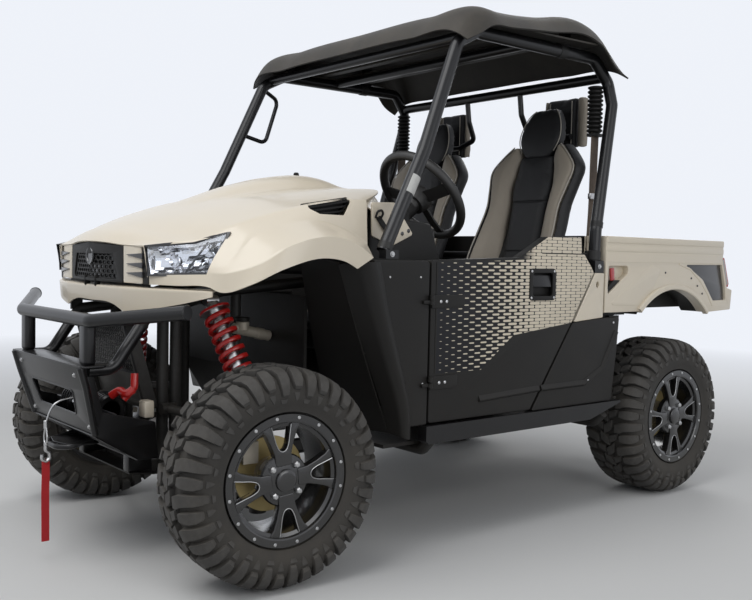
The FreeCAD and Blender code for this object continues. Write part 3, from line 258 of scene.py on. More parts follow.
def ring(radius, steps):
    """A round section."""
    return [(radius * math.cos(math.tau * i / steps), radius * math.sin(math.tau * i / steps))
            for i in range(steps)]


def sweep(path, section, closed=False, up=(0, 0, 1)):
    """A section of (side, up) pairs carried along a path of points."""
    path = [Vector(p) for p in path]
    count = len(path)
    bm = bmesh.new()
    rings = []
    normal = None
    for i, point in enumerate(path):
        ahead = path[(i + 1) % count] if closed or i + 1 < count else point
        back = path[i - 1] if closed or i else point
        line = (ahead - back).normalized()
        if normal is None:
            start = Vector(up)
            normal = (start - line * start.dot(line)).normalized()
            if abs(start.dot(line)) > 0.95:
                normal = line.orthogonal().normalized()
        normal = (normal - line * normal.dot(line)).normalized()
        side = line.cross(normal)
        rings.append([bm.verts.new(point + side * a + normal * b) for a, b in section])
    return bridged(bm, rings, closed)


def tube(points, radius, bend, steps=20):
    """A round tube with bends of one radius."""
    return sweep(fillet(points, bend), ring(radius, steps))


# %% [markdown]
# ### Plates and skins
# A plate is cut from a flat outline and can have holes; its edges are rounded like sheet or moulded stock.
# A skin is a grid of points in rows: the body panels are drawn this way because their curves run in two
# directions, and a few rows with named columns say the whole form.

# %% Plate, skin and moulded panel
AXES = {
    "x": Matrix(((0, 0, 1, 0), (1, 0, 0, 0), (0, 1, 0, 0), (0, 0, 0, 1))),
    "y": Matrix(((1, 0, 0, 0), (0, 0, -1, 0), (0, 1, 0, 0), (0, 0, 0, 1))),
    "z": Matrix.Identity(4),
}


def rounded(points, radius=6.0, steps=5):
    """An outline with its corners rounded; a point may carry its own radius."""
    count = len(points)
    result = []
    for i in range(count):
        corner = Vector(points[i][:2])
        own = points[i][2] if len(points[i]) > 2 else radius
        back = Vector(points[i - 1][:2]) - corner
        ahead = Vector(points[(i + 1) % count][:2]) - corner
        half = back.angle(ahead) / 2
        if own <= 0 or abs(half - math.pi / 2) < 0.02:
            result.append(tuple(corner))
            continue
        setback = min(own / math.tan(half), 0.45 * back.length, 0.45 * ahead.length)
        real = setback * math.tan(half)
        back.normalize()
        ahead.normalize()
        centre = corner + (back + ahead).normalized() * (real / math.sin(half))
        first = (corner + back * setback - centre).to_3d()
        last = (corner + ahead * setback - centre).to_3d()
        for k in range(steps + 1):
            arm = first.slerp(last, k / steps) * real
            result.append((centre.x + arm.x, centre.y + arm.y))
    return result


def plate(loops, low, high, axis="y", edge=1.5, segments=2):
    """A flat part between two levels of an axis: the first loop is the outside, the rest are holes."""
    data = bpy.data.curves.new("plate", "CURVE")
    data.dimensions = "2D"
    data.fill_mode = "BOTH"
    data.extrude = (high - low) / 2 - edge
    data.bevel_depth = edge
    data.bevel_resolution = segments
    data.offset = -edge
    for loop in loops:
        spline = data.splines.new("POLY")
        spline.points.add(len(loop) - 1)
        for point, (u, v) in zip(spline.points, loop):
            point.co = (u, v, 0, 1)
        spline.use_cyclic_u = True
    obj = bpy.data.objects.new("plate", data)
    scene.collection.objects.link(obj)
    bm = to_bmesh(obj)
    bmesh.ops.remove_doubles(bm, verts=bm.verts, dist=0.02)
    bmesh.ops.recalc_face_normals(bm, faces=bm.faces)
    middle = (low + high) / 2
    lift = Matrix.Translation({"x": Vector((middle, 0, 0)), "y": Vector((0, middle, 0)),
                               "z": Vector((0, 0, middle))}[axis])
    return moved(bm, lift @ AXES[axis])


def grid(rows):
    """A sheet of quads through rows of points."""
    bm = bmesh.new()
    verts = [[bm.verts.new(p) for p in row] for row in rows]
    for one, two in zip(verts, verts[1:]):
        for j in range(len(one) - 1):
            bm.faces.new((one[j], one[j + 1], two[j + 1], two[j]))
    return bm


def whole(rows):
    """Left half rows made into full width rows."""
    return [[(x, -y, z) for x, y, z in reversed(row[1:])] + list(row) for row in rows]


def skin(surface, wall, levels, folds=()):
    """A wall over rows of points: the border stays sharp, and so do the columns named as folds."""
    bm = grid(surface)
    bm.verts.index_update()
    width = len(surface[0])
    layer = bm.edges.layers.float.new("crease_edge")
    for edge in bm.edges:
        one, two = (vert.index % width for vert in edge.verts)
        edge[layer] = 1.0 if edge.is_boundary or (one == two and one in folds) else 0.0
    bmesh.ops.recalc_face_normals(bm, faces=bm.faces)
    return modified(bm, ("SUBSURF", {"levels": levels}),
                    ("SOLIDIFY", {"thickness": wall, "offset": -1, "use_even_offset": True}))


def through(points, steps, breaks=()):
    """A smooth line through all the points; it may turn sharply at a break."""
    points = [Vector(p) for p in points]
    gaps = [max((two - one).length, 1e-6) for one, two in zip(points, points[1:])]
    slopes = [(two - one) / gap for one, two, gap in zip(points, points[1:], gaps)]
    last = len(points) - 1

    def lean(i):
        if i in (0, last) or i in breaks:
            return None
        return (slopes[i - 1] * gaps[i] + slopes[i] * gaps[i - 1]) / (gaps[i - 1] + gaps[i])

    result = [points[0]]
    for i in range(last):
        start, end = lean(i), lean(i + 1)
        if start is None and end is None:
            start = end = slopes[i]
        elif start is None:
            start = slopes[i] * 1.5 - end * 0.5
        elif end is None:
            end = slopes[i] * 1.5 - start * 0.5
        for k in range(1, steps + 1):
            t = k / steps
            result.append(points[i] * (2 * t ** 3 - 3 * t ** 2 + 1)
                          + points[i + 1] * (3 * t ** 2 - 2 * t ** 3)
                          + start * gaps[i] * (t ** 3 - 2 * t ** 2 + t) + end * gaps[i] * (t ** 3 - t ** 2))
    return result


def moulded(rows, wall, steps, folds=(), row_folds=(), change=None):
    """A panel whose smooth surface passes through every point of the table, with sharp folds where they are
    named.  change moves each point of the finished surface."""
    dense = [through(row, steps[1], folds) for row in rows]
    columns = [through(column, steps[0], row_folds) for column in zip(*dense)]
    surface = [list(row) for row in zip(*columns)]
    if change:
        surface = [[change(point) for point in row] for row in surface]
    return skin(surface, wall, 1, {fold * steps[1] for fold in folds})


# %% [markdown]
# ### Finished pieces
# A piece is one object: its meshes with their materials, riding on the body that carries it.

# %% Piece
def piece(name, body, parts, stands_for=(), at=None, sharp=32):
    """Make a finished object from (mesh, material) pairs."""
    whole_mesh = bmesh.new()
    mesh = bpy.data.meshes.new(name)
    finishes = []
    for bm, material in parts:
        if material not in finishes:
            finishes.append(material)
            mesh.materials.append(material)
        work = bpy.data.meshes.new("work")
        bm.to_mesh(work)
        first = len(whole_mesh.faces)
        whole_mesh.from_mesh(work)
        bpy.data.meshes.remove(work)
        whole_mesh.faces.ensure_lookup_table()
        for face in whole_mesh.faces[first:]:
            face.material_index = finishes.index(material)
    bmesh.ops.scale(whole_mesh, vec=(0.001, 0.001, 0.001), verts=whole_mesh.verts)
    for face in whole_mesh.faces:
        face.smooth = True
    whole_mesh.to_mesh(mesh)
    mesh.set_sharp_from_angle(angle=math.radians(sharp))
    print(name, "has", len(mesh.polygons), "faces")
    return stand(name, mesh, body, stands_for, at)


def stand(name, mesh, body, stands_for, at):
    """Put a mesh in the scene on its body."""
    obj = bpy.data.objects.new(name, mesh)
    scene.collection.objects.link(obj)
    if at is not None:
        obj.matrix_world = at
    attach(obj, body)
    if stands_for:
        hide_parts(*stands_for)
    return obj


# %% [markdown]
# ## Materials
# The surfaces are made from four effects: a fine grain, a dust veil, edge wear and a weave.
# Each is a node group with named sockets, and every material sets its own values.

# %% Shared effects and the finish
def group(name, inputs, outputs):
    """An empty node group with its sockets; returns the tree, its input node and its output node."""
    tree = bpy.data.node_groups.new(name, "ShaderNodeTree")
    for label, kind, value in inputs:
        socket = tree.interface.new_socket(label, in_out="INPUT", socket_type=kind)
        if value is not None:
            socket.default_value = value
    for label, kind in outputs:
        tree.interface.new_socket(label, in_out="OUTPUT", socket_type=kind)
    return tree, tree.nodes.new("NodeGroupInput"), tree.nodes.new("NodeGroupOutput")


def add_node(tree, kind, **values):
    """A node with its settings."""
    made = tree.nodes.new(kind)
    for name, value in values.items():
        setattr(made, name, value)
    return made


def noise_node(tree, vector, scale, detail, roughness=0.55):
    """A noise texture on a vector; its scale is a number or a socket."""
    made = add_node(tree, "ShaderNodeTexNoise")
    made.inputs["Detail"].default_value = detail
    made.inputs["Roughness"].default_value = roughness
    tree.links.new(vector, made.inputs["Vector"])
    if isinstance(scale, (int, float)):
        made.inputs["Scale"].default_value = scale
    else:
        tree.links.new(scale, made.inputs["Scale"])
    return made


def math_node(tree, operation, *values, clamp=False):
    """One step of arithmetic; each value is a number or a socket."""
    made = add_node(tree, "ShaderNodeMath", operation=operation, use_clamp=clamp)
    for socket, value in zip(made.inputs, values):
        if isinstance(value, (int, float)):
            socket.default_value = value
        else:
            tree.links.new(value, socket)
    return made.outputs[0]


def grain_group():
    """Moulded grain: a bump of fine noise."""
    tree, source, target = group("grain", [
        ("Vector", "NodeSocketVector", None), ("Scale", "NodeSocketFloat", 900.0),
        ("Depth", "NodeSocketFloat", 0.2)],
        [("Height", "NodeSocketFloat"), ("Mask", "NodeSocketFloat")])
    fine = noise_node(tree, source.outputs["Vector"], source.outputs["Scale"], 2.0)
    slow = noise_node(tree, source.outputs["Vector"], 9.0, 4.0)
    height = math_node(tree, "MULTIPLY", fine.outputs["Fac"], source.outputs["Depth"])
    tree.links.new(height, target.inputs["Height"])
    tree.links.new(slow.outputs["Fac"], target.inputs["Mask"])
    return tree


def dust_group():
    """A dust veil: more on faces that look up and low on the vehicle."""
    tree, source, target = group("dust", [
        ("Vector", "NodeSocketVector", None), ("Amount", "NodeSocketFloat", 0.3),
        ("Height", "NodeSocketFloat", 1.0)], [("Mask", "NodeSocketFloat")])
    geometry = add_node(tree, "ShaderNodeNewGeometry")
    split = add_node(tree, "ShaderNodeSeparateXYZ")
    tree.links.new(geometry.outputs["Normal"], split.inputs[0])
    up = math_node(tree, "MULTIPLY_ADD", split.outputs["Z"], 0.35, 0.55)
    place = add_node(tree, "ShaderNodeSeparateXYZ")
    tree.links.new(geometry.outputs["Position"], place.inputs[0])
    low = math_node(tree, "DIVIDE", place.outputs["Z"], source.outputs["Height"])
    fade = math_node(tree, "SUBTRACT", 1.15, low, clamp=True)
    cloud = noise_node(tree, source.outputs["Vector"], 7.0, 5.0, 0.65)
    patch = math_node(tree, "MULTIPLY", cloud.outputs["Fac"], up)
    mask = math_node(tree, "MULTIPLY", patch, fade)
    mask = math_node(tree, "MULTIPLY", mask, source.outputs["Amount"], clamp=True)
    tree.links.new(mask, target.inputs["Mask"])
    return tree


def wear_group():
    """Edge wear: corners of the mesh, broken up by noise."""
    tree, source, target = group("edge wear", [
        ("Vector", "NodeSocketVector", None), ("Amount", "NodeSocketFloat", 0.5)],
        [("Mask", "NodeSocketFloat")])
    geometry = add_node(tree, "ShaderNodeNewGeometry")
    sharp = math_node(tree, "SUBTRACT", geometry.outputs["Pointiness"], 0.53)
    sharp = math_node(tree, "MULTIPLY", sharp, 9.0, clamp=True)
    broken = noise_node(tree, source.outputs["Vector"], 55.0, 4.0)
    worn = math_node(tree, "MULTIPLY", sharp, broken.outputs["Fac"])
    worn = math_node(tree, "MULTIPLY", worn, source.outputs["Amount"], clamp=True)
    tree.links.new(worn, target.inputs["Mask"])
    return tree


def weave_group():
    """Cloth or webbing: two crossed bands."""
    tree, source, target = group("weave", [
        ("Vector", "NodeSocketVector", None), ("Scale", "NodeSocketFloat", 300.0)],
        [("Height", "NodeSocketFloat")])
    heights = []
    for direction in ("X", "Z"):
        wave = add_node(tree, "ShaderNodeTexWave", bands_direction=direction)
        tree.links.new(source.outputs["Vector"], wave.inputs["Vector"])
        tree.links.new(source.outputs["Scale"], wave.inputs["Scale"])
        heights.append(wave.outputs["Fac"])
    tree.links.new(math_node(tree, "MULTIPLY", *heights), target.inputs["Height"])
    return tree


GRAIN = grain_group()
DUST = dust_group()
WEAR = wear_group()
WEAVE = weave_group()
DUST_COLOUR = (0.34, 0.29, 0.22, 1)


def use_group(tree, shared, vector, **values):
    """A shared effect with values of its own."""
    made = add_node(tree, "ShaderNodeGroup", node_tree=shared)
    tree.links.new(vector, made.inputs["Vector"])
    for name, value in values.items():
        made.inputs[name].default_value = value
    return made


def mix_colour(tree, mask, one, two):
    """The second colour over the first by a mask."""
    made = add_node(tree, "ShaderNodeMix", data_type="RGBA")
    tree.links.new(mask, made.inputs["Factor"])
    for socket, value in ((made.inputs[6], one), (made.inputs[7], two)):
        if isinstance(value, tuple):
            socket.default_value = value
        else:
            tree.links.new(value, socket)
    return made.outputs[2]


def finish(name, colour, rough, metal=0.0, coat=0.0, grain=(900.0, 0.1), dust=0.2, wear=0.0, shade=0.85,
           dust_height=1.0, bump=0.15, shine=0.5):
    """A painted, moulded or bare surface made from the shared effects."""
    material = bpy.data.materials.new(name)
    material.use_nodes = True
    tree = material.node_tree
    surface = tree.nodes["Principled BSDF"]
    vector = add_node(tree, "ShaderNodeTexCoord").outputs["Object"]
    texture = use_group(tree, GRAIN, vector, Scale=grain[0], Depth=grain[1])
    veil = use_group(tree, DUST, vector, Amount=dust, Height=dust_height)
    colour = tuple(colour) + (1,)
    darker = tuple(c * shade for c in colour[:3]) + (1,)
    base = mix_colour(tree, texture.outputs["Mask"], darker, colour)
    if wear:
        edge = use_group(tree, WEAR, vector, Amount=wear)
        bright = tuple(min(1, c * 1.5 + 0.12) for c in colour[:3]) + (1,)
        base = mix_colour(tree, edge.outputs["Mask"], base, bright)
    base = mix_colour(tree, veil.outputs["Mask"], base, DUST_COLOUR)
    tree.links.new(base, surface.inputs["Base Color"])
    roughness = math_node(tree, "MULTIPLY_ADD", veil.outputs["Mask"], 0.5, rough, clamp=True)
    roughness = math_node(tree, "MULTIPLY_ADD", texture.outputs["Mask"], 0.08, roughness, clamp=True)
    tree.links.new(roughness, surface.inputs["Roughness"])
    relief = add_node(tree, "ShaderNodeBump")
    relief.inputs["Strength"].default_value = bump
    relief.inputs["Distance"].default_value = 0.001
    tree.links.new(texture.outputs["Height"], relief.inputs["Height"])
    tree.links.new(relief.outputs["Normal"], surface.inputs["Normal"])
    surface.inputs["Metallic"].default_value = metal
    surface.inputs["Coat Weight"].default_value = coat
    surface.inputs["Coat Roughness"].default_value = 0.12
    surface.inputs["Specular IOR Level"].default_value = shine
    return material


# %% Finishes of this vehicle
CREAM = (0.70, 0.625, 0.50)
cream_panel = finish("cream panel", CREAM, 0.34, coat=0.35, grain=(40.0, 0.4), dust=0.12, shade=0.94,
                     bump=0.05)
black_mould = finish("black mould", (0.012, 0.0115, 0.011), 0.46, grain=(700.0, 1.0), dust=0.08, bump=0.4,
                     shine=0.22)
roof_mould = finish("roof mould", (0.014, 0.014, 0.014), 0.5, grain=(500.0, 1.0), dust=0.3, dust_height=9.0,
                    bump=0.5,
                    shine=0.3)
black_paint = finish("black paint", (0.007, 0.007, 0.008), 0.28, coat=0.15, grain=(220.0, 0.3), dust=0.04,
                     bump=0.08,
                     shine=0.3)
frame_paint = finish("frame paint", (0.014, 0.014, 0.014), 0.42, grain=(300.0, 0.8), dust=0.2, wear=0.2,
                     shine=0.25)
tyre_rubber = finish("tyre rubber", (0.015, 0.0145, 0.014), 0.7, grain=(420.0, 1.0), dust=0.26, wear=0.5,
                     bump=0.4,
                     dust_height=1.2)
rim_black = finish("rim black", (0.010, 0.010, 0.011), 0.2, coat=0.6, grain=(300.0, 0.3), dust=0.06)
cast_metal = finish("cast metal", (0.42, 0.38, 0.31), 0.5, metal=0.4, grain=(350.0, 1.0), dust=0.35,
                    wear=0.3)
bare_alloy = finish("bare alloy", (0.55, 0.54, 0.52), 0.38, metal=0.9, grain=(350.0, 0.8), dust=0.2)
damper_silver = finish("damper silver", (0.66, 0.66, 0.66), 0.25, metal=1.0, dust=0.1)
spring_red = finish("spring red", (0.55, 0.012, 0.010), 0.3, coat=0.4, dust=0.1)
steel = finish("steel", (0.5, 0.5, 0.5), 0.3, metal=1.0, dust=0.1)
disc_gold = finish("disc plating", (0.46, 0.36, 0.16), 0.35, metal=0.7, grain=(200.0, 0.5), dust=0.2)
seat_black = finish("seat black", (0.016, 0.016, 0.017), 0.5, grain=(650.0, 1.0), dust=0.04, bump=0.4,
                    shine=0.3)
seat_taupe = finish("seat taupe", (0.33, 0.29, 0.235), 0.55, grain=(650.0, 1.0), dust=0.04, bump=0.4)
seat_piping = finish("seat piping", (0.42, 0.39, 0.34), 0.5, grain=(650.0, 1.0), dust=0.0)
grip_black = finish("grip black", (0.022, 0.021, 0.020), 0.42, grain=(600.0, 1.0), dust=0.04, bump=0.4)
chrome = finish("lamp chrome", (0.85, 0.85, 0.86), 0.08, metal=1.0, dust=0.0)
lamp_dark = finish("lamp bezel", (0.015, 0.015, 0.017), 0.25, coat=0.5, dust=0.0)
tail_red = finish("tail red", (0.45, 0.010, 0.012), 0.15, coat=0.7, grain=(60.0, 0.5), dust=0.05)
label_grey = finish("plain plate", (0.5, 0.5, 0.48), 0.4, dust=0.05)
print("finishes", len(bpy.data.materials))

# %% [markdown]
# ### Glass and webbing
# The lamp glass keeps plain transmission; the red strap and the belts use the weave.

# %% Lamp glass, strap and belts
def clear_glass(name):
    """Clear glass with a little dust."""
    material = bpy.data.materials.new(name)
    material.use_nodes = True
    tree = material.node_tree
    surface = tree.nodes["Principled BSDF"]
    surface.inputs["Base Color"].default_value = (0.95, 0.97, 1.0, 1)
    surface.inputs["Transmission Weight"].default_value = 1.0
    surface.inputs["IOR"].default_value = 1.3
    vector = add_node(tree, "ShaderNodeTexCoord").outputs["Object"]
    veil = use_group(tree, DUST, vector, Amount=0.15, Height=2.0)
    roughness = math_node(tree, "MULTIPLY_ADD", veil.outputs["Mask"], 0.3, 0.02)
    tree.links.new(roughness, surface.inputs["Roughness"])
    return material


def webbing(name, colour, scale):
    """Woven strap in one colour with darker gaps."""
    material = bpy.data.materials.new(name)
    material.use_nodes = True
    tree = material.node_tree
    surface = tree.nodes["Principled BSDF"]
    vector = add_node(tree, "ShaderNodeTexCoord").outputs["Object"]
    cloth = use_group(tree, WEAVE, vector, Scale=scale)
    texture = use_group(tree, GRAIN, vector, Scale=400.0, Depth=0.3)
    dark = tuple(c * 0.55 for c in colour) + (1,)
    base = mix_colour(tree, cloth.outputs["Height"], dark, tuple(colour) + (1,))
    base = mix_colour(tree, texture.outputs["Mask"], base, tuple(colour) + (1,))
    tree.links.new(base, surface.inputs["Base Color"])
    surface.inputs["Roughness"].default_value = 0.75
    relief = add_node(tree, "ShaderNodeBump")
    relief.inputs["Strength"].default_value = 0.5
    relief.inputs["Distance"].default_value = 0.001
    tree.links.new(cloth.outputs["Height"], relief.inputs["Height"])
    tree.links.new(relief.outputs["Normal"], surface.inputs["Normal"])
    return material


lamp_glass = clear_glass("lamp glass")
strap_red = webbing("red webbing", (0.55, 0.015, 0.02), 260.0)
belt_brown = webbing("belt webbing", (0.16, 0.12, 0.09), 300.0)
print("finishes with glass and webbing", len(bpy.data.materials))

# %% [markdown]
# ### Construction parts that stay visible
# Tubes, arms and drive parts are already full forms, so they only need their finish.

# %% Finish the construction parts
SHOWN = [
    (frame_paint, "suspension_arms frame_rails front_frame rear_frame hitch"),
    (cast_metal, "rear_uprights knuckle_left knuckle_right"),
    (damper_silver, "dampers"),
    (steel, "half_shafts drive_shaft silencer steering_rack"),
    (bare_alloy, "final_drives engine_block"),
    (black_paint, "step_tubes cage_front cage_rear"),
    (black_mould, "skid_plate floor_tub bed_box"),
]
for material, names in SHOWN:
    for name in names.split():
        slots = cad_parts[name].data.materials
        slots.clear()
        slots.append(material)
print("construction parts finished", sum(len(names.split()) for _, names in SHOWN))

# %% [markdown]
# ## Tyres
# The carcass is a turned profile.  The tread is built from lugs: each lug is a short strip laid across the
# profile, given by stations of (distance from the middle, start and end round the tyre, height), so the lugs
# follow the shoulder down to the side wall.  This way a whole tread comes from a table of one pitch.

# %% Tyre profile, lugs and patches
TYRE_RADIUS = 325
PITCHES = 20


def carcass(half):
    """Profile of one half: distance from the middle across, radius."""
    return [(0, 309), (half - 58, 308), (half - 36, 304), (half - 20, 294), (half - 9, 278), (half - 3, 262),
            (half - 2, 240), (half - 6, 222), (half - 11, 210), (half - 12, 200)]


def profile_at(half, distance):
    """Point and outward normal on the carcass at a distance along its profile from the middle."""
    side = -1 if distance < 0 else 1
    left = abs(distance)
    points = carcass(half)
    for one, two in zip(points, points[1:]):
        line = Vector((two[0] - one[0], two[1] - one[1]))
        if left <= line.length or two is points[-1]:
            at = Vector(one) + line.normalized() * left
            normal = Vector((-line.y, line.x)).normalized()
            return side * at.x, at.y, side * normal.x, normal.y
        left -= line.length


def lug(bm, half, stations, turn):
    """One tread block, lofted across the profile."""
    rings = []
    pitch = math.tau / PITCHES
    for distance, start, end, height in stations:
        y, radius, ny, nr = profile_at(half, distance)
        ring_points = []
        lean = 2.2 / radius
        for angle, lift in ((start * pitch - lean, -1.5), (start * pitch, height - 2.5),
                            (start * pitch + 1.5 / radius, height), (end * pitch - 1.5 / radius, height),
                            (end * pitch, height - 2.5), (end * pitch + lean, -1.5)):
            r = radius + nr * lift
            a = angle + turn
            ring_points.append(bm.verts.new((r * math.sin(a), y + ny * lift, r * math.cos(a))))
        rings.append(ring_points)
    for one, two in zip(rings, rings[1:]):
        for j in range(5):
            bm.faces.new((one[j], one[j + 1], two[j + 1], two[j]))
    bm.faces.new(list(reversed(rings[0])))
    bm.faces.new(rings[-1])


LUGS = [
    # long shoulder lug with a hooked inner end
    [(40, 0.16, 0.50, 16), (56, 0.10, 0.50, 16), (72, 0.05, 0.42, 16), (92, 0.03, 0.38, 16),
     (108, 0.03, 0.38, 15),
     (128, 0.05, 0.37, 12), (146, 0.08, 0.35, 8), (152, 0.10, 0.33, 3)],
    # short shoulder lug with a wide foot
    [(60, 0.60, 0.84, 16), (76, 0.56, 0.88, 16), (92, 0.54, 0.90, 16), (108, 0.54, 0.90, 15),
     (124, 0.57, 0.86, 12),
     (132, 0.60, 0.82, 5)],
    # slanted middle block
    [(-9, 0.22, 0.58, 16), (10, 0.10, 0.50, 16), (26, 0.00, 0.36, 16)],
    # small middle block
    [(14, 0.66, 0.94, 16), (32, 0.58, 0.86, 16), (46, 0.56, 0.78, 16)],
]
# shallow patches on the side wall: distance from the middle, start, end, height
PATCHES = [
    [(158, 0.10, 0.44, 2.5), (170, 0.16, 0.38, 2.5)],
    [(140, 0.60, 0.86, 2.5), (156, 0.62, 0.80, 2.5), (166, 0.68, 0.74, 2.0)],
]


def tyre_mesh(half):
    """The carcass with its bead and all of its lugs, about the Y axis."""
    outer = carcass(half)
    outline = [(y, r) for y, r in outer] + [(half - 26, 199), (half - 26, 178.5), (-half + 27, 178.5),
                                            (-half + 27, 196), (-half + 12, 205)]
    outline += [(-y, r) for y, r in reversed(outer[1:-1])] + [(0, 309)]
    body = lathe(outline, 126)
    tread = bmesh.new()
    for i in range(PITCHES):
        for side, offset in ((1, 0.0), (-1, 0.5)):
            for stations in LUGS + PATCHES:
                placed = [(side * d, a, b, h) for d, a, b, h in stations]
                lug(tread, half, placed, (i + offset) * math.tau / PITCHES)
    bmesh.ops.recalc_face_normals(tread, faces=tread.faces)
    return merged([body, tread])


# %% [markdown]
# ## Rims
# A turned barrel carries four split spokes cut from an outline, a bolted ring with sixteen bright bolts,
# the centre with four nuts and a plain cap, and the plated brake disc behind.

# %% Rims and all four wheels
SPOKE_EDGE = [(25, 42), (27, 76), (37, 108), (50, 138), (62, 152), (60, 160), (36, 164)]
SPOKE_NOTCH = [(32, 160), (25, 130), (18, 102), (10, 88), (0, 84)]


def spoke_outline():
    """One split spoke in the wheel plane, pointing up."""
    half = SPOKE_EDGE + SPOKE_NOTCH
    return rounded([(-x, z) for x, z in half[:-1]] + [half[-1]] + [(x, z) for x, z in reversed(half[:-1])],
                   6)


def rim_mesh(half):
    """The black casting, its bright bolts, the brake disc and the hub behind, about the Y axis."""
    face = half - 12
    profile = [(face, 172), (face, 193), (face - 4, 195), (face - 12, 195), (half - 25, 187),
               (half - 25, 178),
               (-half + 26, 178), (-half + 23, 186), (-half + 20, 186), (-half + 20, 172), (-half + 42, 160),
               (face - 42, 152), (face - 16, 156), (face - 12, 166), (face - 3, 168), (face, 172)]
    black = [lathe(profile, 96)]
    bright = []
    spoke = plate([spoke_outline()], face - 40, face - 10, edge=2.5)
    # the thin bright steel line swept along each spoke's notch edge is a painted highlight standing in for
    # reflections on that edge
    notch = [Vector((x, face - 9.6, z)) for x, z in SPOKE_NOTCH]
    notch = through([Vector((-p.x, p.y, p.z)) for p in notch[:-1]] + list(reversed(notch)), 3)
    shine = sweep(notch, ring(1.3, 6))
    for i in range(4):
        black.append(moved(spoke, turned(6 + 90 * i, "Y")))
        bright.append(moved(shine, turned(6 + 90 * i, "Y")))
    black.append(lathe([(face - 44, 0), (face - 44, 76), (face - 22, 78), (face - 16, 74), (face - 12, 44),
                        (face - 10, 38), (face - 10, 0)], 64))
    black.append(lathe([(face - 12, 34), (face - 2, 32), (face + 1, 28), (face + 2, 22), (face + 2, 0)], 48))
    for i in range(16):
        angle = math.tau * (i + 0.5) / 16
        at = Vector((184 * math.sin(angle), face - 0.5, 184 * math.cos(angle)))
        bright.append(bar(at, at + Vector((0, 2.5, 0)), 5.2, 1.2, 14))
    for i in range(4):
        angle = math.radians(51 + 90 * i)
        at = Vector((55 * math.sin(angle), face - 16, 55 * math.cos(angle)))
        bright.append(placed(lathe([(0, 0), (0, 10), (12, 10), (16, 7), (17, 0)], 6), at))
    disc = lathe([(-6, 30), (-6, 112), (-11, 112), (-11, 30), (-6, 30)], 64)
    back = lathe([(face - 44, 0), (face - 50, 52), (-6, 52), (-6, 28), (-30, 28), (-30, 20), (-52, 19),
                  (-52, 0)], 40)
    return merged(black), merged(bright), disc, back


WHEELS = {}
for end, half in (("front", 115.0), ("rear", 127.5)):
    black, bright, disc, back = rim_mesh(half)
    WHEELS[end] = {
        "tyre": [(tyre_mesh(half), tyre_rubber)],
        # the steel part holds the bright bolts and nuts and also the painted highlight lines along the spoke
        # notches
        "rim": [(black, rim_black), (bright, steel), (disc, disc_gold), (back, cast_metal)],
    }
PARKED_TURN = 5
FRONT_X, REAR_X = 985, -965
FRONT_PIVOT_Y, REAR_Y = 555, 619.5
LEAD = 77 * math.sin(math.radians(PARKED_TURN))
OUT = FRONT_PIVOT_Y + 77 * math.cos(math.radians(PARKED_TURN))
CENTRES = {
    "front_left": (FRONT_X + LEAD, OUT, -PARKED_TURN),
    "front_right": (FRONT_X - LEAD, -OUT, 180 - PARKED_TURN),
    "rear_left": (REAR_X, REAR_Y, 0),
    "rear_right": (REAR_X, -REAR_Y, 180),
}
MESHES = {}
for label, (x, y, turn) in CENTRES.items():
    end = label.split("_")[0]
    place = Matrix.Translation(Vector((x, y, TYRE_RADIUS)) * 0.001) @ turned(turn, "Z")
    for kind in ("tyre", "rim"):
        name = f"{kind}_{label}"
        if (end, kind) in MESHES:
            stand(name + "_look", MESHES[end, kind], "wheel_" + label, [name], at=place)
            continue
        made = piece(name + "_look", "wheel_" + label, WHEELS[end][kind], [name], at=place)
        MESHES[end, kind] = made.data
print("tyre faces", len(MESHES["front", "tyre"].polygons), "rim faces", len(MESHES["front", "rim"].polygons))

# %% [markdown]
# ## Hood with its fenders
# The hood and both fenders are one moulding, drawn as nine rows from the nose to the cowl.
# Each row runs from the crown over the shelf, the crease and the shoulder down to the fender's flared edge.

# %% Hood, vents and knob
HOOD = [
    [(1293, 0, 1003), (1285, 110, 1000), (1268, 205, 992), (1258, 330, 990), (1254, 335, 950),
     (1250, 340, 910),
     (1247, 340, 874)],
    [(1262, 0, 1033), (1255, 112, 1030), (1236, 220, 1022), (1195, 415, 1003), (1200, 430, 955),
     (1203, 440, 912),
     (1205, 450, 874)],
    [(1215, 0, 1056), (1205, 115, 1053), (1185, 232, 1042), (1125, 480, 1018), (1150, 520, 960),
     (1160, 545, 915),
     (1165, 560, 874)],
    [(1130, 0, 1085), (1125, 120, 1082), (1110, 255, 1073), (1070, 512, 1049), (1105, 582, 962),
     (1136, 610, 916),
     (1148, 600, 860)],
    [(1040, 0, 1114), (1040, 125, 1110), (1030, 280, 1102), (985, 532, 1082), (1038, 594, 1022),
     (1066, 672, 944),
     (1090, 672, 886)],
    [(900, 0, 1155), (900, 150, 1152), (880, 300, 1148), (850, 550, 1119), (933, 602, 1064), (984, 711, 998),
     (1008, 712, 930)],
    [(744, 0, 1184), (744, 155, 1182), (740, 312, 1176), (720, 557, 1143), (831, 604, 1078),
     (867, 729, 1027),
     (870, 727, 964)],
    [(600, 0, 1206), (600, 155, 1202), (600, 330, 1194), (640, 560, 1153), (720, 603, 1058),
     (774, 731, 1015),
     (798, 729, 954)],
    [(345, 0, 1230), (350, 150, 1222), (380, 345, 1209), (592, 561, 1155), (620, 606, 1008), (690, 724, 968),
     (752, 725, 934)],
]
DOME = [(345, 0), (375, 24), (430, 44), (513, 54), (668, 48), (790, 34), (900, 14), (1010, 0)]
LAMP = [(1138, 528, 910), (1250, 352, 902), (1262, 352, 988), (1150, 450, 1003), (1082, 528, 1034)]
INWARD = Vector((-0.86, -0.5, 0))
VENT = [(835, 1122), (645, 1157), (698, 1099), (797, 1099)]


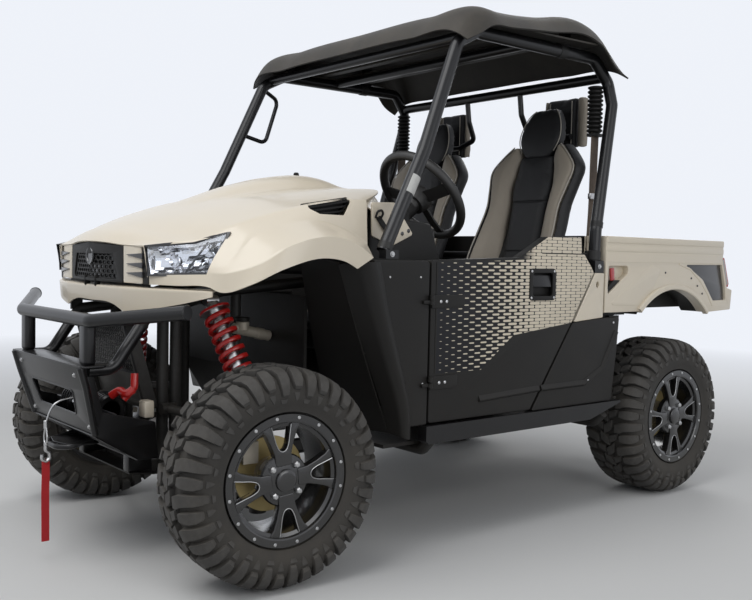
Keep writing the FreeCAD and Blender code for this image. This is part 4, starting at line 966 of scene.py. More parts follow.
def lens_block(corners, start, depth):
    """A block whose front outline need not be flat, running along the lamp's axis."""
    bm = bmesh.new()
    front = [bm.verts.new(Vector(p) + INWARD * start) for p in corners]
    back = [bm.verts.new(Vector(p) + INWARD * (start + depth)) for p in corners]
    bm.faces.new(front)
    bm.faces.new(list(reversed(back)))
    for i in range(len(front)):
        j = (i + 1) % len(front)
        bm.faces.new((front[i], back[i], back[j], front[j]))
    bmesh.ops.triangulate(bm, faces=bm.faces)
    bmesh.ops.recalc_face_normals(bm, faces=bm.faces)
    return bm


lamp_cut = lens_block(LAMP, -60, 150)
vent_cut = plate([rounded(VENT, 8)], 520, 640, edge=0.5)


def on_table(table, x):
    """The value at x between the named pairs."""
    for (x0, v0), (x1, v1) in zip(table, table[1:]):
        if x0 <= x <= x1:
            return v0 + (v1 - v0) * (x - x0) / (x1 - x0)
    return 0.0


def dome(point):
    """The raised middle of the hood."""
    height = on_table(DOME, point.x)
    if height <= 0:
        return point
    half = 96 + 0.075 * (1010 - point.x)
    share = max(0.0, 1 - (abs(point.y) / half) ** 2.6)
    return point + Vector((0, 0, height * share ** 0.8))


hood = moulded(whole(HOOD), 5, (7, 7), folds=(1, 2, 3, 9, 10, 11), change=dome)
hood = carved(hood, lamp_cut, mirrored(lamp_cut), vent_cut, mirrored(vent_cut))
slats = [plate([rounded([(824 - 8 * k, 1121 - 11 * k), (660 + 6 * k, 1150 - 16 * k),
                         (664 + 8 * k, 1143 - 16 * k),
                         (820 - 8 * k, 1115 - 11 * k)], 2)], 545, 556, edge=1) for k in (0, 1, 2)]
vent_back = plate([rounded([(842, 1128), (636, 1164), (692, 1092), (802, 1092)], 8)], 530, 534, edge=1)
vent_wall = sweep([Vector((x, 546, z)) for x, z in rounded(VENT, 8)], [(-2, -14), (2, -14), (2, 3), (-2, 3)],
                  closed=True, up=(0, 1, 0))
knob = placed(lathe([(0, 0), (0, 9), (6, 11), (13, 9), (15, 4), (15, 0)], 24), (483, 0, 1266), 90)
vents = both(merged(slats + [vent_back, vent_wall]))
piece("hood_look", "hood", [(hood, cream_panel), (vents, black_mould), (knob, black_mould)], ["hood"],
      sharp=50)

# %% [markdown]
# ## Roof
# One deep moulding with a visor lip at the front and a flange all round.

# %% Roof and its lining
ROOF = [
    [(285, 0, 1752), (285, 400, 1748), (275, 640, 1730), (262, 672, 1706)],
    [(240, 0, 1812), (240, 400, 1808), (225, 640, 1796), (212, 684, 1732)],
    [(160, 0, 1850), (160, 400, 1848), (160, 645, 1824), (158, 690, 1766)],
    [(60, 0, 1852), (60, 400, 1850), (60, 645, 1824), (58, 690, 1776)],
    [(-154, 0, 1872), (-154, 400, 1868), (-154, 645, 1842), (-154, 690, 1797)],
    [(-370, 0, 1892), (-370, 400, 1888), (-370, 645, 1872), (-380, 690, 1814)],
    [(-450, 0, 1880), (-450, 400, 1876), (-450, 645, 1852), (-455, 694, 1786)],
    [(-530, 0, 1818), (-530, 400, 1814), (-530, 650, 1790), (-530, 700, 1716)],
    [(-596, 0, 1740), (-596, 400, 1736), (-596, 655, 1716), (-600, 703, 1690)],
]


def roof_channels(point):
    """Two long shallow channels beside the raised middle."""
    x, y, z = point
    along_roof = max(0.0, min(1.0, (x + 430) / 80, (130 - x) / 80))
    channel = max(0.0, 1 - ((abs(y) - 330) / 60) ** 2)
    return Vector((x, y, z - 7 * along_roof * channel))


roof = moulded(whole(ROOF), 6, (5, 9), change=roof_channels)
lining = [sweep([(150, y, 1783), (-150, y, 1788), (-440, y, 1796)], rect(44, 3))
          for y in (632, -632)]
lining += [box((x - 20, -640, 1788), (x + 20, 640, 1800), 4) for x in (60, -60, -180, -300)]
piece("roof_look", "chassis", [(roof, roof_mould), (merged(lining), roof_mould)], ["roof"])

# %% [markdown]
# ## Nose: lip, grille and the strips beside it
# The fixed lip closes the nose below the hood.
# The grille is a dark frame with a mesh of flat cells, cut from an outline and then bent along the middle,
# because the nose has a slight point there.

# %% Front lip and grille
LIP = [
    [(1240, 0, 866), (1238, 150, 866), (1234, 222, 866), (1216, 330, 866), (1175, 440, 866),
     (1125, 535, 866)],
    [(1284, 0, 862), (1280, 170, 862), (1277, 222, 862), (1252, 345, 862), (1208, 468, 862),
     (1158, 570, 862)],
    [(1280, 0, 812), (1276, 160, 806), (1271, 222, 786), (1247, 345, 800), (1206, 465, 820),
     (1160, 570, 846)],
]
lip = moulded(whole(LIP), 5, (6, 6), folds=(3, 7), row_folds=(1,))
lip_ears = [box((1268, y - 3, 858), (1288, y + 3, 893), 4) for y in (-40, 40)]
closing = box((1222, -310, 800), (1228, 310, 872), 1)
piece("front_lip_look", "chassis", [(lip, cream_panel), (merged(lip_ears + [closing]), black_mould)],
      ["front_lip"])


NOSE_TIP = 1291.0
NOSE_SLOPE = 26.0 / 204.0


def bent(bm):
    """Set a flat nose part on the pointed front: its outer level, zero, goes to the nose line."""
    bmesh.ops.bisect_plane(bm, geom=bm.verts[:] + bm.edges[:] + bm.faces[:], plane_co=(0, 0, 0),
                           plane_no=(0, 1, 0))
    for vert in bm.verts:
        vert.co.x += NOSE_TIP - NOSE_SLOPE * abs(vert.co.y)
    return bm


def hexagon(u, v, across, high):
    """A flat hexagon that points sideways."""
    tip = across / 2
    flat = tip - high * 0.35
    return [(u - tip, v), (u - flat, v - high / 2), (u + flat, v - high / 2),
            (u + tip, v), (u + flat, v + high / 2), (u - flat, v + high / 2)]


window = rounded([(-176, 884), (176, 884), (146, 962), (-146, 962)], 12)
surround = plate([rounded([(-204, 874), (204, 874), (204, 989), (0, 1000), (-204, 989)], 5), window], -22, 0,
                 "x", 2)
cells = []
for row in range(6):
    for column in range(-7, 8):
        y, z = 25 * column + 12.5 * (row % 2), 893 + 14 * row
        if abs(y) < 158 - (z - 888) * 0.3:
            cells.append(hexagon(y, z, 21, 10.5))
mesh_plate = plate([rounded([(-172, 884), (172, 884), (144, 972), (-144, 972)], 10)] + cells, -10, -5, "x",
                   0.8, 1)
backing = plate([rounded([(-176, 880), (176, 880), (148, 976), (-148, 976)], 10)], -23.5, -20, "x", 0.5, 1)
badge = placed(lathe([(0, 0), (0, 27), (6, 30), (9, 27), (8, 22), (5, 20), (5, 0)], 48), (1281, 0, 955), -90,
               "Z")
piece("grille_look", "hood", [
    (bent(surround), black_mould), (bent(mesh_plate), black_mould), (bent(backing), lamp_dark),
    (badge, rim_black)],
    ["grille"], sharp=30)

# %% [markdown]
# The strip between grille and lamp is cream with three pointed black fins, and a black upright closes it
# against the lamp.

# %% Strips beside the grille
def beside(bm):
    """Set a flat strip on the slanted corner of the nose."""
    for vert in bm.verts:
        vert.co.x += 1266 - 0.1 * (vert.co.y - 206)
    return bm


cream_strip = plate([rounded([(209, 875), (316, 875), (308, 986), (207, 989)], 4)], -16, -1, "x", 1.5)
fins = [plate([rounded([(222, z + 4, 1), (322, z - 9, 2), (322, z + 9, 2)], 2)], -12, 4, "x", 1.5)
        for z in (902, 930, 958)]
upright = plate([rounded([(300, 874), (346, 874), (350, 992), (310, 990)], 4)], -18, -4, "x", 1.5)
strips = [(beside(cream_strip), cream_panel), (beside(merged(fins)), lamp_dark),
          (beside(upright), black_mould)]
for side, make in SIDES:
    piece("nose_strip_" + side, "hood", [(make(bm), finish_) for bm, finish_ in strips])

# %% [markdown]
# ## Headlights
# A lamp is drawn on its own surface: u runs from the front corner to the rear tip and v from the lower edge
# to the upper one.  Glass, bezel, reflectors and the dark bar are laid on that surface at their own depth.

# %% Both headlights
LAMP_TOP = [Vector((1262, 352, 988)), Vector((1150, 450, 1003)), Vector((1082, 528, 1034))]
LAMP_LOW = [Vector((1250, 352, 902)), Vector((1196, 438, 906)), Vector((1138, 528, 910))]


def along_chain(chain, u):
    """A point on a line of three points; the middle one stands at 0.55."""
    if u < 0.55:
        return chain[0].lerp(chain[1], u / 0.55)
    return chain[1].lerp(chain[2], (u - 0.55) / 0.45)


def lamp_point(u, v, depth=0.0):
    """The point of the lamp at (u, v), at a depth behind its face."""
    return along_chain(LAMP_LOW, u).lerp(along_chain(LAMP_TOP, u), v) + INWARD * depth


def lamp_sheet(depth, columns, rows, low=(0.0, 0.0), high=(1.0, 1.0)):
    """A sheet on the lamp between two (u, v) corners; depth is a function of u and v."""
    points = []
    for j in range(rows + 1):
        v = low[1] + (high[1] - low[1]) * j / rows
        line = []
        for i in range(columns + 1):
            u = low[0] + (high[0] - low[0]) * i / columns
            line.append(lamp_point(u, v, depth(u, v)))
        points.append(line)
    bm = grid(points)
    bmesh.ops.recalc_face_normals(bm, faces=bm.faces)
    return bm


def bulge(u, v):
    """The glass swells a little in front of its bezel."""
    return -5 * math.sin(math.pi * u) * math.sin(math.pi * v) - 0.5


def bowl_depth(u, v):
    """The reflector's hollow, broken into uneven facets."""
    edge = (1 - (2 * u - 1) ** 6) * (1 - (2 * v - 1) ** 4)
    facet = noise.noise(Vector((u * 6, v * 4, 3))) * 7
    return 6 + 40 * edge + facet * edge


glass = modified(lamp_sheet(bulge, 14, 8), ("SOLIDIFY", {"thickness": 2.0, "offset": 0}))
BORDER_STEPS = (0, 0.25, 0.55, 0.8, 1)
border = [lamp_point(u, 0.0) for u in BORDER_STEPS] + [lamp_point(u, 1.0) for u in reversed(BORDER_STEPS)]
border = [p + INWARD * 2 for p in border]
bezel = sweep(border, rect(4, 5), closed=True)
bowl = modified(lamp_sheet(bowl_depth, 20, 12), ("SOLIDIFY", {"thickness": 1.5, "offset": 0}))
brow = modified(lamp_sheet(lambda u, v: 4 + 60 * (1 - v), 16, 2, (0.02, 0.86), (0.98, 0.97)),
                ("SOLIDIFY", {"thickness": 2, "offset": 0}))
bar_low, bar_high = lamp_point(0.60, 0.05, 12), lamp_point(0.72, 0.88, 12)
divider = sweep([bar_low, bar_high], rect(5, 3))
bulbs = []
for u, v in ((0.30, 0.45), (0.80, 0.45)):
    at = lamp_point(u, v, 34)
    bulbs.append(moved(lathe([(-6, 17), (0, 19), (2, 17), (-8, 8), (-10, 0)], 32), along(at, at - INWARD)))
housing = lens_block(LAMP, 54, 6)
for side, make in SIDES:
    piece("headlight_" + side, "hood",
          [(make(bezel), lamp_dark), (make(brow), chrome), (make(divider), lamp_dark),
                                        (make(merged(bulbs)), chrome), (make(housing), lamp_dark)],
          ["headlights"] if side == "left" else ())
    piece("reflector_" + side, "hood", [(make(bowl), chrome)], sharp=3)
    piece("headlight_glass_" + side, "hood", [(make(glass), lamp_glass)])

# %% [markdown]
# ## Front bumper
# A round hoop over two posts, a leaning plate with the winch window, side plates and braces.  The plate's
# upright edges are rounded like folded sheet.

# %% Bumper
PLATE_FOOT, PLATE_TOP = 415, 632


def plate_x(z):
    """How far forward the leaning plate stands at a height."""
    return 1372 + (z - PLATE_FOOT) * 64 / (PLATE_TOP - PLATE_FOOT)


def leaning(bm):
    """Lean an upright bumper plate back towards its foot."""
    for vert in bm.verts:
        vert.co.x += plate_x(vert.co.z)
    return bm


hoop_line = [(1251, 598, 805), (1402, 290, 765), (1402, -290, 765), (1251, -598, 805)]
hoop = tube(hoop_line, 21, 60, 28)
caps = []
for y in (598, -598):
    out = Vector((1251 - 1402, y - (290 if y > 0 else -290), 40)).normalized()
    at = Vector((1251, y, 805)) - out * 1
    caps.append(bar(at - out * 3, at + out * 2.5, 22.5, 2))
window_edge = [(178, 548), (150, 468), (-150, 468), (-178, 548)]
face_edge = [(298, PLATE_TOP), (298, 560), (262, PLATE_FOOT), (-262, PLATE_FOOT), (-298, 560),
             (-298, PLATE_TOP)]
face_plate = plate([rounded(face_edge, 10), rounded(window_edge, 10)], -6, 0, "x", 2)
window_rim = [Vector((plate_x(z) - 1, y, z)) for y, z in rounded(window_edge, 12)]
shelf = plate([rounded([(1352, -298), (1434, -298), (1434, 298), (1352, 298)], 14)], 626, 632, "z", 2)
side_plate = plate([rounded([(1432, 630), (1388, 630), (1352, 486), (1180, 442), (1166, 326), (1240, 330),
                             (1372, 412)],
                            8)], 257, 263, "y", 2)
corner = sweep([(1430, 285, 627), (1412, 285, 566), (1371, 255, 419)], ring(11, 16))
post = box((1378, 226, 630), (1414, 278, 758), 12, 4)
brace = tube([(1400, 262, 616), (1318, 262, 616), (1232, 262, 742)], 19, 50, 24)
strut = box((1160, 160, 276), (1240, 200, 331), 4)
under = plate([rounded(rect(37, 263, (1203, 0)), 3)], 326, 331, "z", 1)
ramp = sweep([(1240, 0, 332), (1376, 0, 416)], rect(263, 2))
loop = tube([(1290, 74, 372), (1380, 78, 352), (1408, 40, 350), (1408, -40, 350), (1380, -78, 352),
             (1290, -74, 372)],
            9, 34, 16)
loop_plate = plate([rounded([(1285, -95), (1382, -84), (1404, 0, 60), (1382, 84), (1285, 95)], 18)], 355,
                   362, "z", 2)
bolts = [bolt((plate_x(z), y, z), (1, 0, -0.2), 9) for y in (-230, 230) for z in (440, 600)]
bumper_parts = [hoop, leaning(face_plate), shelf, both(side_plate), both(corner), both(post), both(brace),
                both(strut), under, ramp, loop, sweep(window_rim, ring(3, 8), closed=True)] + caps
piece("front_bumper_look", "chassis", [(merged(bumper_parts), black_paint), (merged(bolts), steel),
                                       (loop_plate, black_paint)], ["front_bumper"])

# %% [markdown]
# ## Winch, radiator guard and what shows between the bumper and the frame

# %% Winch and radiator
winch_parts = [bar((1275, -150, 470), (1275, 150, 470), 32, 2, 32)]
for low, high in ((-150, -70), (70, 150)):
    winch_parts.append(bar((1275, low, 470), (1275, high, 470), 50, 6, 40))
    for step in range(4):
        y = low + 14 + step * 17
        winch_parts.append(bar((1275, y, 470), (1275, y + 6, 470), 53, 1, 40))
winch_parts += [box((1215, -258, 415), (1335, 258, 423), 2), box((1320, 86, 418), (1365, 102, 520), 3),
                box((1235, -150, 505), (1310, -70, 540), 6), box((1235, -257, 423), (1300, -180, 470), 4)]
rope = [Vector((1275 + 38 * math.cos(t * 0.7), -66 + t * 0.77, 470 + 38 * math.sin(t * 0.7)))
        for t in range(172)]
drum_rope = sweep(rope, ring(4.5, 8))
boots = [tube([(1240, 236, 545), (1262, 226, 528), (1268, 196, 540), (1288, 176, 520)], 13, 20, 16),
         tube([(1228, 214, 590), (1232, 222, 548), (1262, 210, 512)], 12, 18, 16)]
bracket_holes = [[(y + 7 * math.cos(a / 3), 452 + 7 * math.sin(a / 3)) for a in range(19)]
                 for y in (200, 236)]
bracket = plate([rounded([(160, 425), (262, 425), (262, 478), (160, 478)], 4)] + bracket_holes, 1306, 1312,
                "x", 1)
block = box((1176, 206, 452), (1210, 250, 506), 6)
piece("winch_look", "chassis", [(merged(winch_parts + [bracket]), black_paint), (drum_rope, steel),
                                (merged(boots), spring_red), (block, cream_panel)], ["winch"])


GUARD_HALF, GUARD_LOW, GUARD_HIGH = 194, 588, 742


def guard_x(z):
    """How far forward the leaning guard stands at a height."""
    return 1212 + (z - 590) * 0.285


diamonds = []
for row in range(9):
    for column in range(-12, 13):
        y, z = 15 * column + 7.5 * (row % 2), 602 + 15.5 * row
        if abs(y) < 182:
            diamonds.append([(y - 5.8, z), (y, z - 12), (y + 5.8, z), (y, z + 12)])
guard_edge = [(-1, GUARD_LOW), (1, GUARD_LOW), (1, GUARD_HIGH), (-1, GUARD_HIGH)]
guard = plate([[(192 * side, z) for side, z in guard_edge]] + diamonds, -0.8, 0.8, "x", 0.2, 0)
for vert in guard.verts:
    vert.co.x += guard_x(vert.co.z)
guard_frame = sweep([(guard_x(z), GUARD_HALF * side, z) for side, z in guard_edge], rect(4, 3), closed=True,
                    up=(1, 0, 0))
core = []
for k in range(60):
    y = -190 + k * 6.4
    core.append(sweep([(1152, y, 478), (1226, y, 740)], rect(0.6, 14), up=(1, 0, 0)))
tanks = [sweep([(1158, y, 470), (1238, y, 750)], rect(9, 20), up=(1, 0, 0))
         for y in (-186, 186)]
rails = [box((1140, -196, 470), (1178, 196, 486), 3), box((1214, -196, 738), (1250, 196, 754), 3)]
piece("radiator_look", "chassis", [(merged(core), bare_alloy), (merged(tanks + rails), frame_paint),
                                   (merged([guard, guard_frame]), black_paint)], ["radiator"])

# %% [markdown]
# ## Doors
# The door is one deep black moulding with a printed front: rows of long cells that grow from dots near the
# hinges into nearly plain cream at the latch.  The print is drawn by arithmetic on the height and length of
# each point, so it stays sharp at any distance and follows the door when it swings.

# %% Printed cells
def least(tree, *values):
    """The smallest of several values."""
    result = values[0]
    for value in values[1:]:
        result = math_node(tree, "MINIMUM", result, value)
    return result


def most(tree, *values):
    """The largest of several values."""
    result = values[0]
    for value in values[1:]:
        result = math_node(tree, "MAXIMUM", result, value)
    return result


def step_mask(tree, value, width):
    """0 below nothing, 1 above the width."""
    return math_node(tree, "DIVIDE", value, width, clamp=True)


# the cells are dots at PRINT_FRONT and full size after PRINT_LENGTH; all in millimetres
PRINT_FRONT, PRINT_LENGTH = 455.0, 560.0
CELL_HALF_HIGH, CELL_HALF_WIDE = 5.75, 29.3
FILM_FRONT = 396.0
FILM_LOW = 590.0
SKIN_Y = 699.2


def hexagon_print():
    """Mask of the printed cells on a door: 1 where the print is cream."""
    tree, source, target = group("hexagon print", [
        ("Vector", "NodeSocketVector", None), ("Across", "NodeSocketFloat", 58.0),
        ("Row", "NodeSocketFloat", 11.8)], [("Mask", "NodeSocketFloat"), ("Glow", "NodeSocketFloat")])
    place = add_node(tree, "ShaderNodeSeparateXYZ")
    tree.links.new(source.outputs["Vector"], place.inputs[0])
    x = math_node(tree, "MULTIPLY", place.outputs["X"], 1000.0)
    y = math_node(tree, "ABSOLUTE", math_node(tree, "MULTIPLY", place.outputs["Y"], 1000.0))
    z = math_node(tree, "MULTIPLY", place.outputs["Z"], 1000.0)
    rows = math_node(tree, "DIVIDE", z, source.outputs["Row"])
    row = math_node(tree, "FLOOR", math_node(tree, "ADD", rows, 0.5))
    up = math_node(tree, "ABSOLUTE", math_node(tree, "SUBTRACT", rows, row))
    up = math_node(tree, "MULTIPLY", up, source.outputs["Row"])
    shift = math_node(tree, "MULTIPLY", math_node(tree, "FLOORED_MODULO", row, 2.0), 0.5)
    columns = math_node(tree, "ADD", math_node(tree, "DIVIDE", x, source.outputs["Across"]), shift)
    column = math_node(tree, "FLOOR", math_node(tree, "ADD", columns, 0.5))
    side = math_node(tree, "ABSOLUTE", math_node(tree, "SUBTRACT", columns, column))
    side = math_node(tree, "MULTIPLY", side, source.outputs["Across"])
    growth = math_node(tree, "SUBTRACT", PRINT_FRONT, x)
    growth = math_node(tree, "DIVIDE", growth, PRINT_LENGTH, clamp=True)
    growth = math_node(tree, "POWER", growth, 0.8)
    # a cell is as high as its growth says and narrows towards its two points
    tall = math_node(tree, "SUBTRACT", math_node(tree, "MULTIPLY", growth, CELL_HALF_HIGH), up)
    slant = math_node(tree, "MULTIPLY_ADD", growth, 2.2, -2.8)
    point = math_node(tree, "MULTIPLY_ADD", up, slant, math_node(tree, "MULTIPLY", growth, CELL_HALF_WIDE))
    wide = math_node(tree, "MULTIPLY", math_node(tree, "SUBTRACT", point, side), 0.5)
    cell = step_mask(tree, least(tree, tall, wide), 0.9)
    # the film's lower edge follows the ledge and the slanted rear of the door, its upper edge the sill line
    edge = math_node(tree, "MULTIPLY_ADD", math_node(tree, "SUBTRACT", 179.0, x), 0.70, 593.0)
    edge = math_node(tree, "MAXIMUM", edge, FILM_LOW)
    edge = math_node(tree, "MINIMUM", edge, math_node(tree, "MULTIPLY_ADD", x, -0.109, 705.0))
    above = step_mask(tree, math_node(tree, "SUBTRACT", z, edge), 1.0)
    from_front = math_node(tree, "SUBTRACT", FILM_FRONT, x)
    ahead = step_mask(tree, from_front, 1.0)
    top = math_node(tree, "MULTIPLY_ADD", from_front, 0.036, 956.0)
    behind = step_mask(tree, math_node(tree, "SUBTRACT", -20.0, x), 60.0)
    under = most(tree, step_mask(tree, math_node(tree, "SUBTRACT", top, z), 1.0), behind)
    outside = step_mask(tree, math_node(tree, "SUBTRACT", y, SKIN_Y), 0.3)
    area = least(tree, above, ahead, under, outside)
    tree.links.new(math_node(tree, "MULTIPLY", cell, area), target.inputs["Mask"])
    tree.links.new(area, target.inputs["Glow"])
    return tree


PRINT = hexagon_print()


def door_finish():
    """Black moulding under a printed film."""
    material = finish("door print", (0.012, 0.0115, 0.011), 0.44, grain=(700.0, 0.8), dust=0.08, bump=0.3,
                      shine=0.22)
    tree = material.node_tree
    surface = tree.nodes["Principled BSDF"]
    base = surface.inputs["Base Color"].links[0].from_socket
    rough = surface.inputs["Roughness"].links[0].from_socket
    vector = add_node(tree, "ShaderNodeTexCoord").outputs["Object"]
    film = use_group(tree, PRINT, vector)
    dark = mix_colour(tree, film.outputs["Glow"], base, (0.010, 0.010, 0.012, 1))
    tree.links.new(mix_colour(tree, film.outputs["Mask"], dark, CREAM + (1,)), surface.inputs["Base Color"])
    smooth = math_node(tree, "MULTIPLY_ADD", film.outputs["Glow"], -0.16, rough)
    tree.links.new(smooth, surface.inputs["Roughness"])
    return material


door_print = door_finish()
print("printed length", PRINT_LENGTH, "mm")

# %% [markdown]
# The door's own parts: the panel with its folded ledge, the latch with its paddle, hinge leaves and screws.

# %% Both doors
DOOR = [(424, 964, 12), (0, 978, 30), (-152, 1056, 14), (-344, 1060, 6), (-350, 1000, 5), (-366, 995, 9),
        (-413, 945, 14), (-426, 926, 6), (-300, 739, 6), (-76, 428, 10), (424, 428, 10)]
LATCH = (-127, 882)


def screw(at, size):
    """A domed screw head on a door or side panel."""
    return placed(lathe([(-1, 0), (-1, size), (0.8, size), (2.4, size * 0.6), (2.6, size * 0.35), (1.4, 0)],
                        20), at)


HINGE_X, HINGE_Y = 427.5, 708


def hinge_barrel(low, high):
    """The part of a hinge on the door's axis between two heights."""
    return placed(lathe([(low, 0), (low, 8), (high, 8), (high, 0)], 24), (HINGE_X, HINGE_Y, 0), 90)


groove = box((-372, 698.2, 994), (-118, 704, 998), 0.6)
strip = box((402, 698.4, 590), (405, 704, 958), 0.6)
pocket_cut = plate([rounded(rect(62, 50, LATCH), 10)], 676, 730, edge=0.5)
panel = carved(plate([rounded(DOOR)], 662, 700, edge=2.5, segments=2), groove, strip, pocket_cut)
bezel = plate([rounded(rect(72, 58, LATCH), 16), rounded(rect(54, 42, LATCH), 8)], 696, 703.5, edge=1.5)
bowl_back = box((LATCH[0] - 62, 676, LATCH[1] - 50), (LATCH[0] + 62, 682, LATCH[1] + 50), 2)
paddle = placed(box((-50, -3, -22), (50, 4, 22), 4), (LATCH[0], 694, LATCH[1] + 12), 8)
corners = [screw((LATCH[0] + i * 62, 703, LATCH[1] + k * 48), 5) for i in (1, -1) for k in (1, -1)]
leaves = []
for low, high, back in ((806, 850, 272), (538, 582, 300)):
    leaf = [(423, low), (back + 14, low), (back, low + 10), (back, high), (423, high)]
    leaves.append(plate([rounded(leaf, 4)],
                        698, 704.5, edge=1.2))
    leaves.append(hinge_barrel(high - 16, high))
leaf_screws = [screw((x, 704, z), 5.5) for x, z in ((383, 828), (357, 828), (383, 560), (357, 560))]
LEDGE_SECTION = [(-13, -2), (13, -2), (6, 7), (2, 8), (-13, 1)]
ledge = sweep([(190, 699, 488), (-122, 699, 501)], LEDGE_SECTION, up=(0, 1, 0))
inner = [plate([rounded([(380, 470), (380, 920), (-300, 930), (-370, 880), (-110, 470)], 30)], 655, 663,
               edge=3),
         tube([(250, 656, 800), (250, 640, 800), (60, 640, 800), (60, 656, 800)], 9, 16, 14)]
lock = [box((-372, 664, 880), (-352, 684, 930), 3)]
door_parts = [(merged([panel, ledge]), door_print),
              (merged([bezel, bowl_back] + inner + leaves), black_mould),
              (paddle, black_paint), (merged(corners + leaf_screws), steel), (merged(lock), steel)]
for side, make in SIDES:
    piece(f"door_{side}_look", "door_" + side, [(make(bm), surface) for bm, surface in door_parts],
          ["door_" + side], sharp=28)

# %% [markdown]
# ## Mudguards with the hinge pillars
# A folded band runs down behind the front wheel and a flat pillar panel fills the space up to the door.

# %% Mudguards
BAND = [
    [(760, 640, 945), (726, 700, 952), (690, 722, 955), (648, 708, 956), (640, 690, 955)],
    [(705, 640, 800), (672, 700, 802), (640, 720, 800), (606, 706, 796), (600, 692, 794)],
    [(640, 640, 640), (610, 700, 636), (580, 718, 634), (552, 704, 630), (546, 692, 628)],
    [(580, 640, 500), (556, 700, 494), (530, 714, 490), (508, 702, 486), (502, 690, 485)],
    [(546, 640, 400), (534, 692, 392), (518, 706, 386), (500, 698, 384), (492, 688, 384)],
]
band = moulded(BAND, 6, (5, 3), folds=(1, 3))
PILLAR = [(668, 962, 10), (431, 962, 14), (430, 424, 6), (512, 424, 6)]
pillar_face = plate([rounded(PILLAR)], 655, 699, edge=4, segments=3)
inner_guard = skin([[(762, 640, 950), (756, 420, 985)], [(650, 640, 640), (690, 420, 640)],
                    [(546, 640, 400), (600, 420, 400)]], 5, 3)
pillar_screws = [screw((600, 697, 908), 5), screw((470, 697, 908), 5), screw((452, 697, 560), 6),
                 screw((452, 697, 828), 6)]
knuckles = [hinge_barrel(z - 9, z + 6) for z in (555, 827)]
arms = [box((428, 690, z), (462, 709, z + 12), 2) for z in (549, 821)]
mudguard = merged([band, pillar_face, inner_guard] + knuckles + arms)
piece("mudguards_look", "chassis", [(both(mudguard), black_mould), (both(merged(pillar_screws)), steel)],
      ["mudguards"])

# %% [markdown]
# ## Panels behind the doors and below the windscreen pillars

# %% Quarter panels, side panels, cowl and deck
QUARTER = [(-436, 925, 5), (-491, 925, 4), (-491, 752, 5), (-316, 739, 4)]
hole = [(-452 + 9 * math.cos(math.tau * i / 24), 880 + 12 * math.sin(math.tau * i / 24)) for i in range(24)]
quarter = plate([rounded(QUARTER), hole], 662, 700, edge=3)
hole_back = plate([rounded([(-440, 860), (-466, 860), (-466, 898), (-440, 898)], 4)], 668, 672, edge=0.5)
piece("quarter_panels_look", "chassis", [(both(quarter), cream_panel), (both(hole_back), lamp_dark)],
      ["quarter_panels"])
SIDE = [(-307, 735, 3), (-316, 737, 3), (-491, 750, 4), (-598, 750, 8), (-585, 600, 20), (-560, 421, 10),
        (-86, 421, 5)]
side_face = plate([rounded(SIDE)], 660, 700, edge=4, segments=3)
LEDGE = [(-132, 700, 501), (-387, 700, 503), (-494, 700, 552), (-579, 700, 693)]
side_ledge = sweep(fillet(LEDGE, 30), LEDGE_SECTION, up=(0, 1, 0))
side_screws = [screw((-405, 704, 512), 5), screw((-560, 700, 730), 5)]
piece("side_panels_look", "chassis", [(both(merged([side_face, side_ledge])), black_mould),
                                      (both(merged(side_screws)), steel)], ["side_panels"])
cowl = plate([rounded([(572, 1148), (474, 1152), (388, 1048), (480, 1008), (568, 1038)], 8)], 558, 565,
             edge=1.5)
tuck = plate([rounded([(578, 1040), (578, 1146), (640, 1146), (640, 1040)], 4)], 544, 550, edge=1.5)
cowl = merged([cowl, tuck])
cowl_bolts = [screw((x, 565, z), 7) for x, z in ((438, 1050), (410, 1060))]
latch_loop = sweep(fillet([(560, 572, 1100), (556, 576, 1118), (540, 578, 1124), (532, 576, 1112),
                           (540, 572, 1094)], 8),
                   ring(4, 10), closed=True)
latch_arm = sweep([(548, 570, 1100), (520, 574, 1066), (505, 570, 1048)], rect(8, 3),
                  up=(0, 1, 0))
deck = moulded(whole([
    [(372, 0, 1219), (376, 150, 1213), (404, 345, 1198), (588, 540, 1146)],
    [(345, 0, 1196), (350, 150, 1190), (380, 345, 1176), (566, 548, 1128)],
    [(330, 0, 1110), (334, 150, 1106), (360, 345, 1104), (540, 552, 1104)]]), 4, (4, 5))
piece("cowl_deck", "chassis", [(deck, cream_panel)])
piece("cowl_panels_look", "chassis", [(both(cowl), cream_panel), (both(merged(cowl_bolts)), lamp_dark),
                                      (both(merged([latch_loop, latch_arm])), black_mould)], ["cowl_panels"])

# %% [markdown]
# ## Soft pads
# A pad is a closed body through loops of points, one loop for each height.  It is given an even skin, filled
# by a short cloth run under pressure and gets its sewn channels last.

# %% Seat pads
def loft(loops):
    """A closed body through loops of points."""
    columns = [through(column, 3) for column in zip(*loops)]
    bm = bmesh.new()
    rings = [[bm.verts.new(column[i]) for column in columns] for i in range(len(columns[0]))]
    return bridged(bm, rings)


SKIN_GRID = 6.0
FILL_PRESSURE = 4
FILL_FRAMES = 20
# the share of the cloth's movement that is kept, and the most that a point may move before that
FILL_SHARE, FILL_CAP = 0.35, 22.0


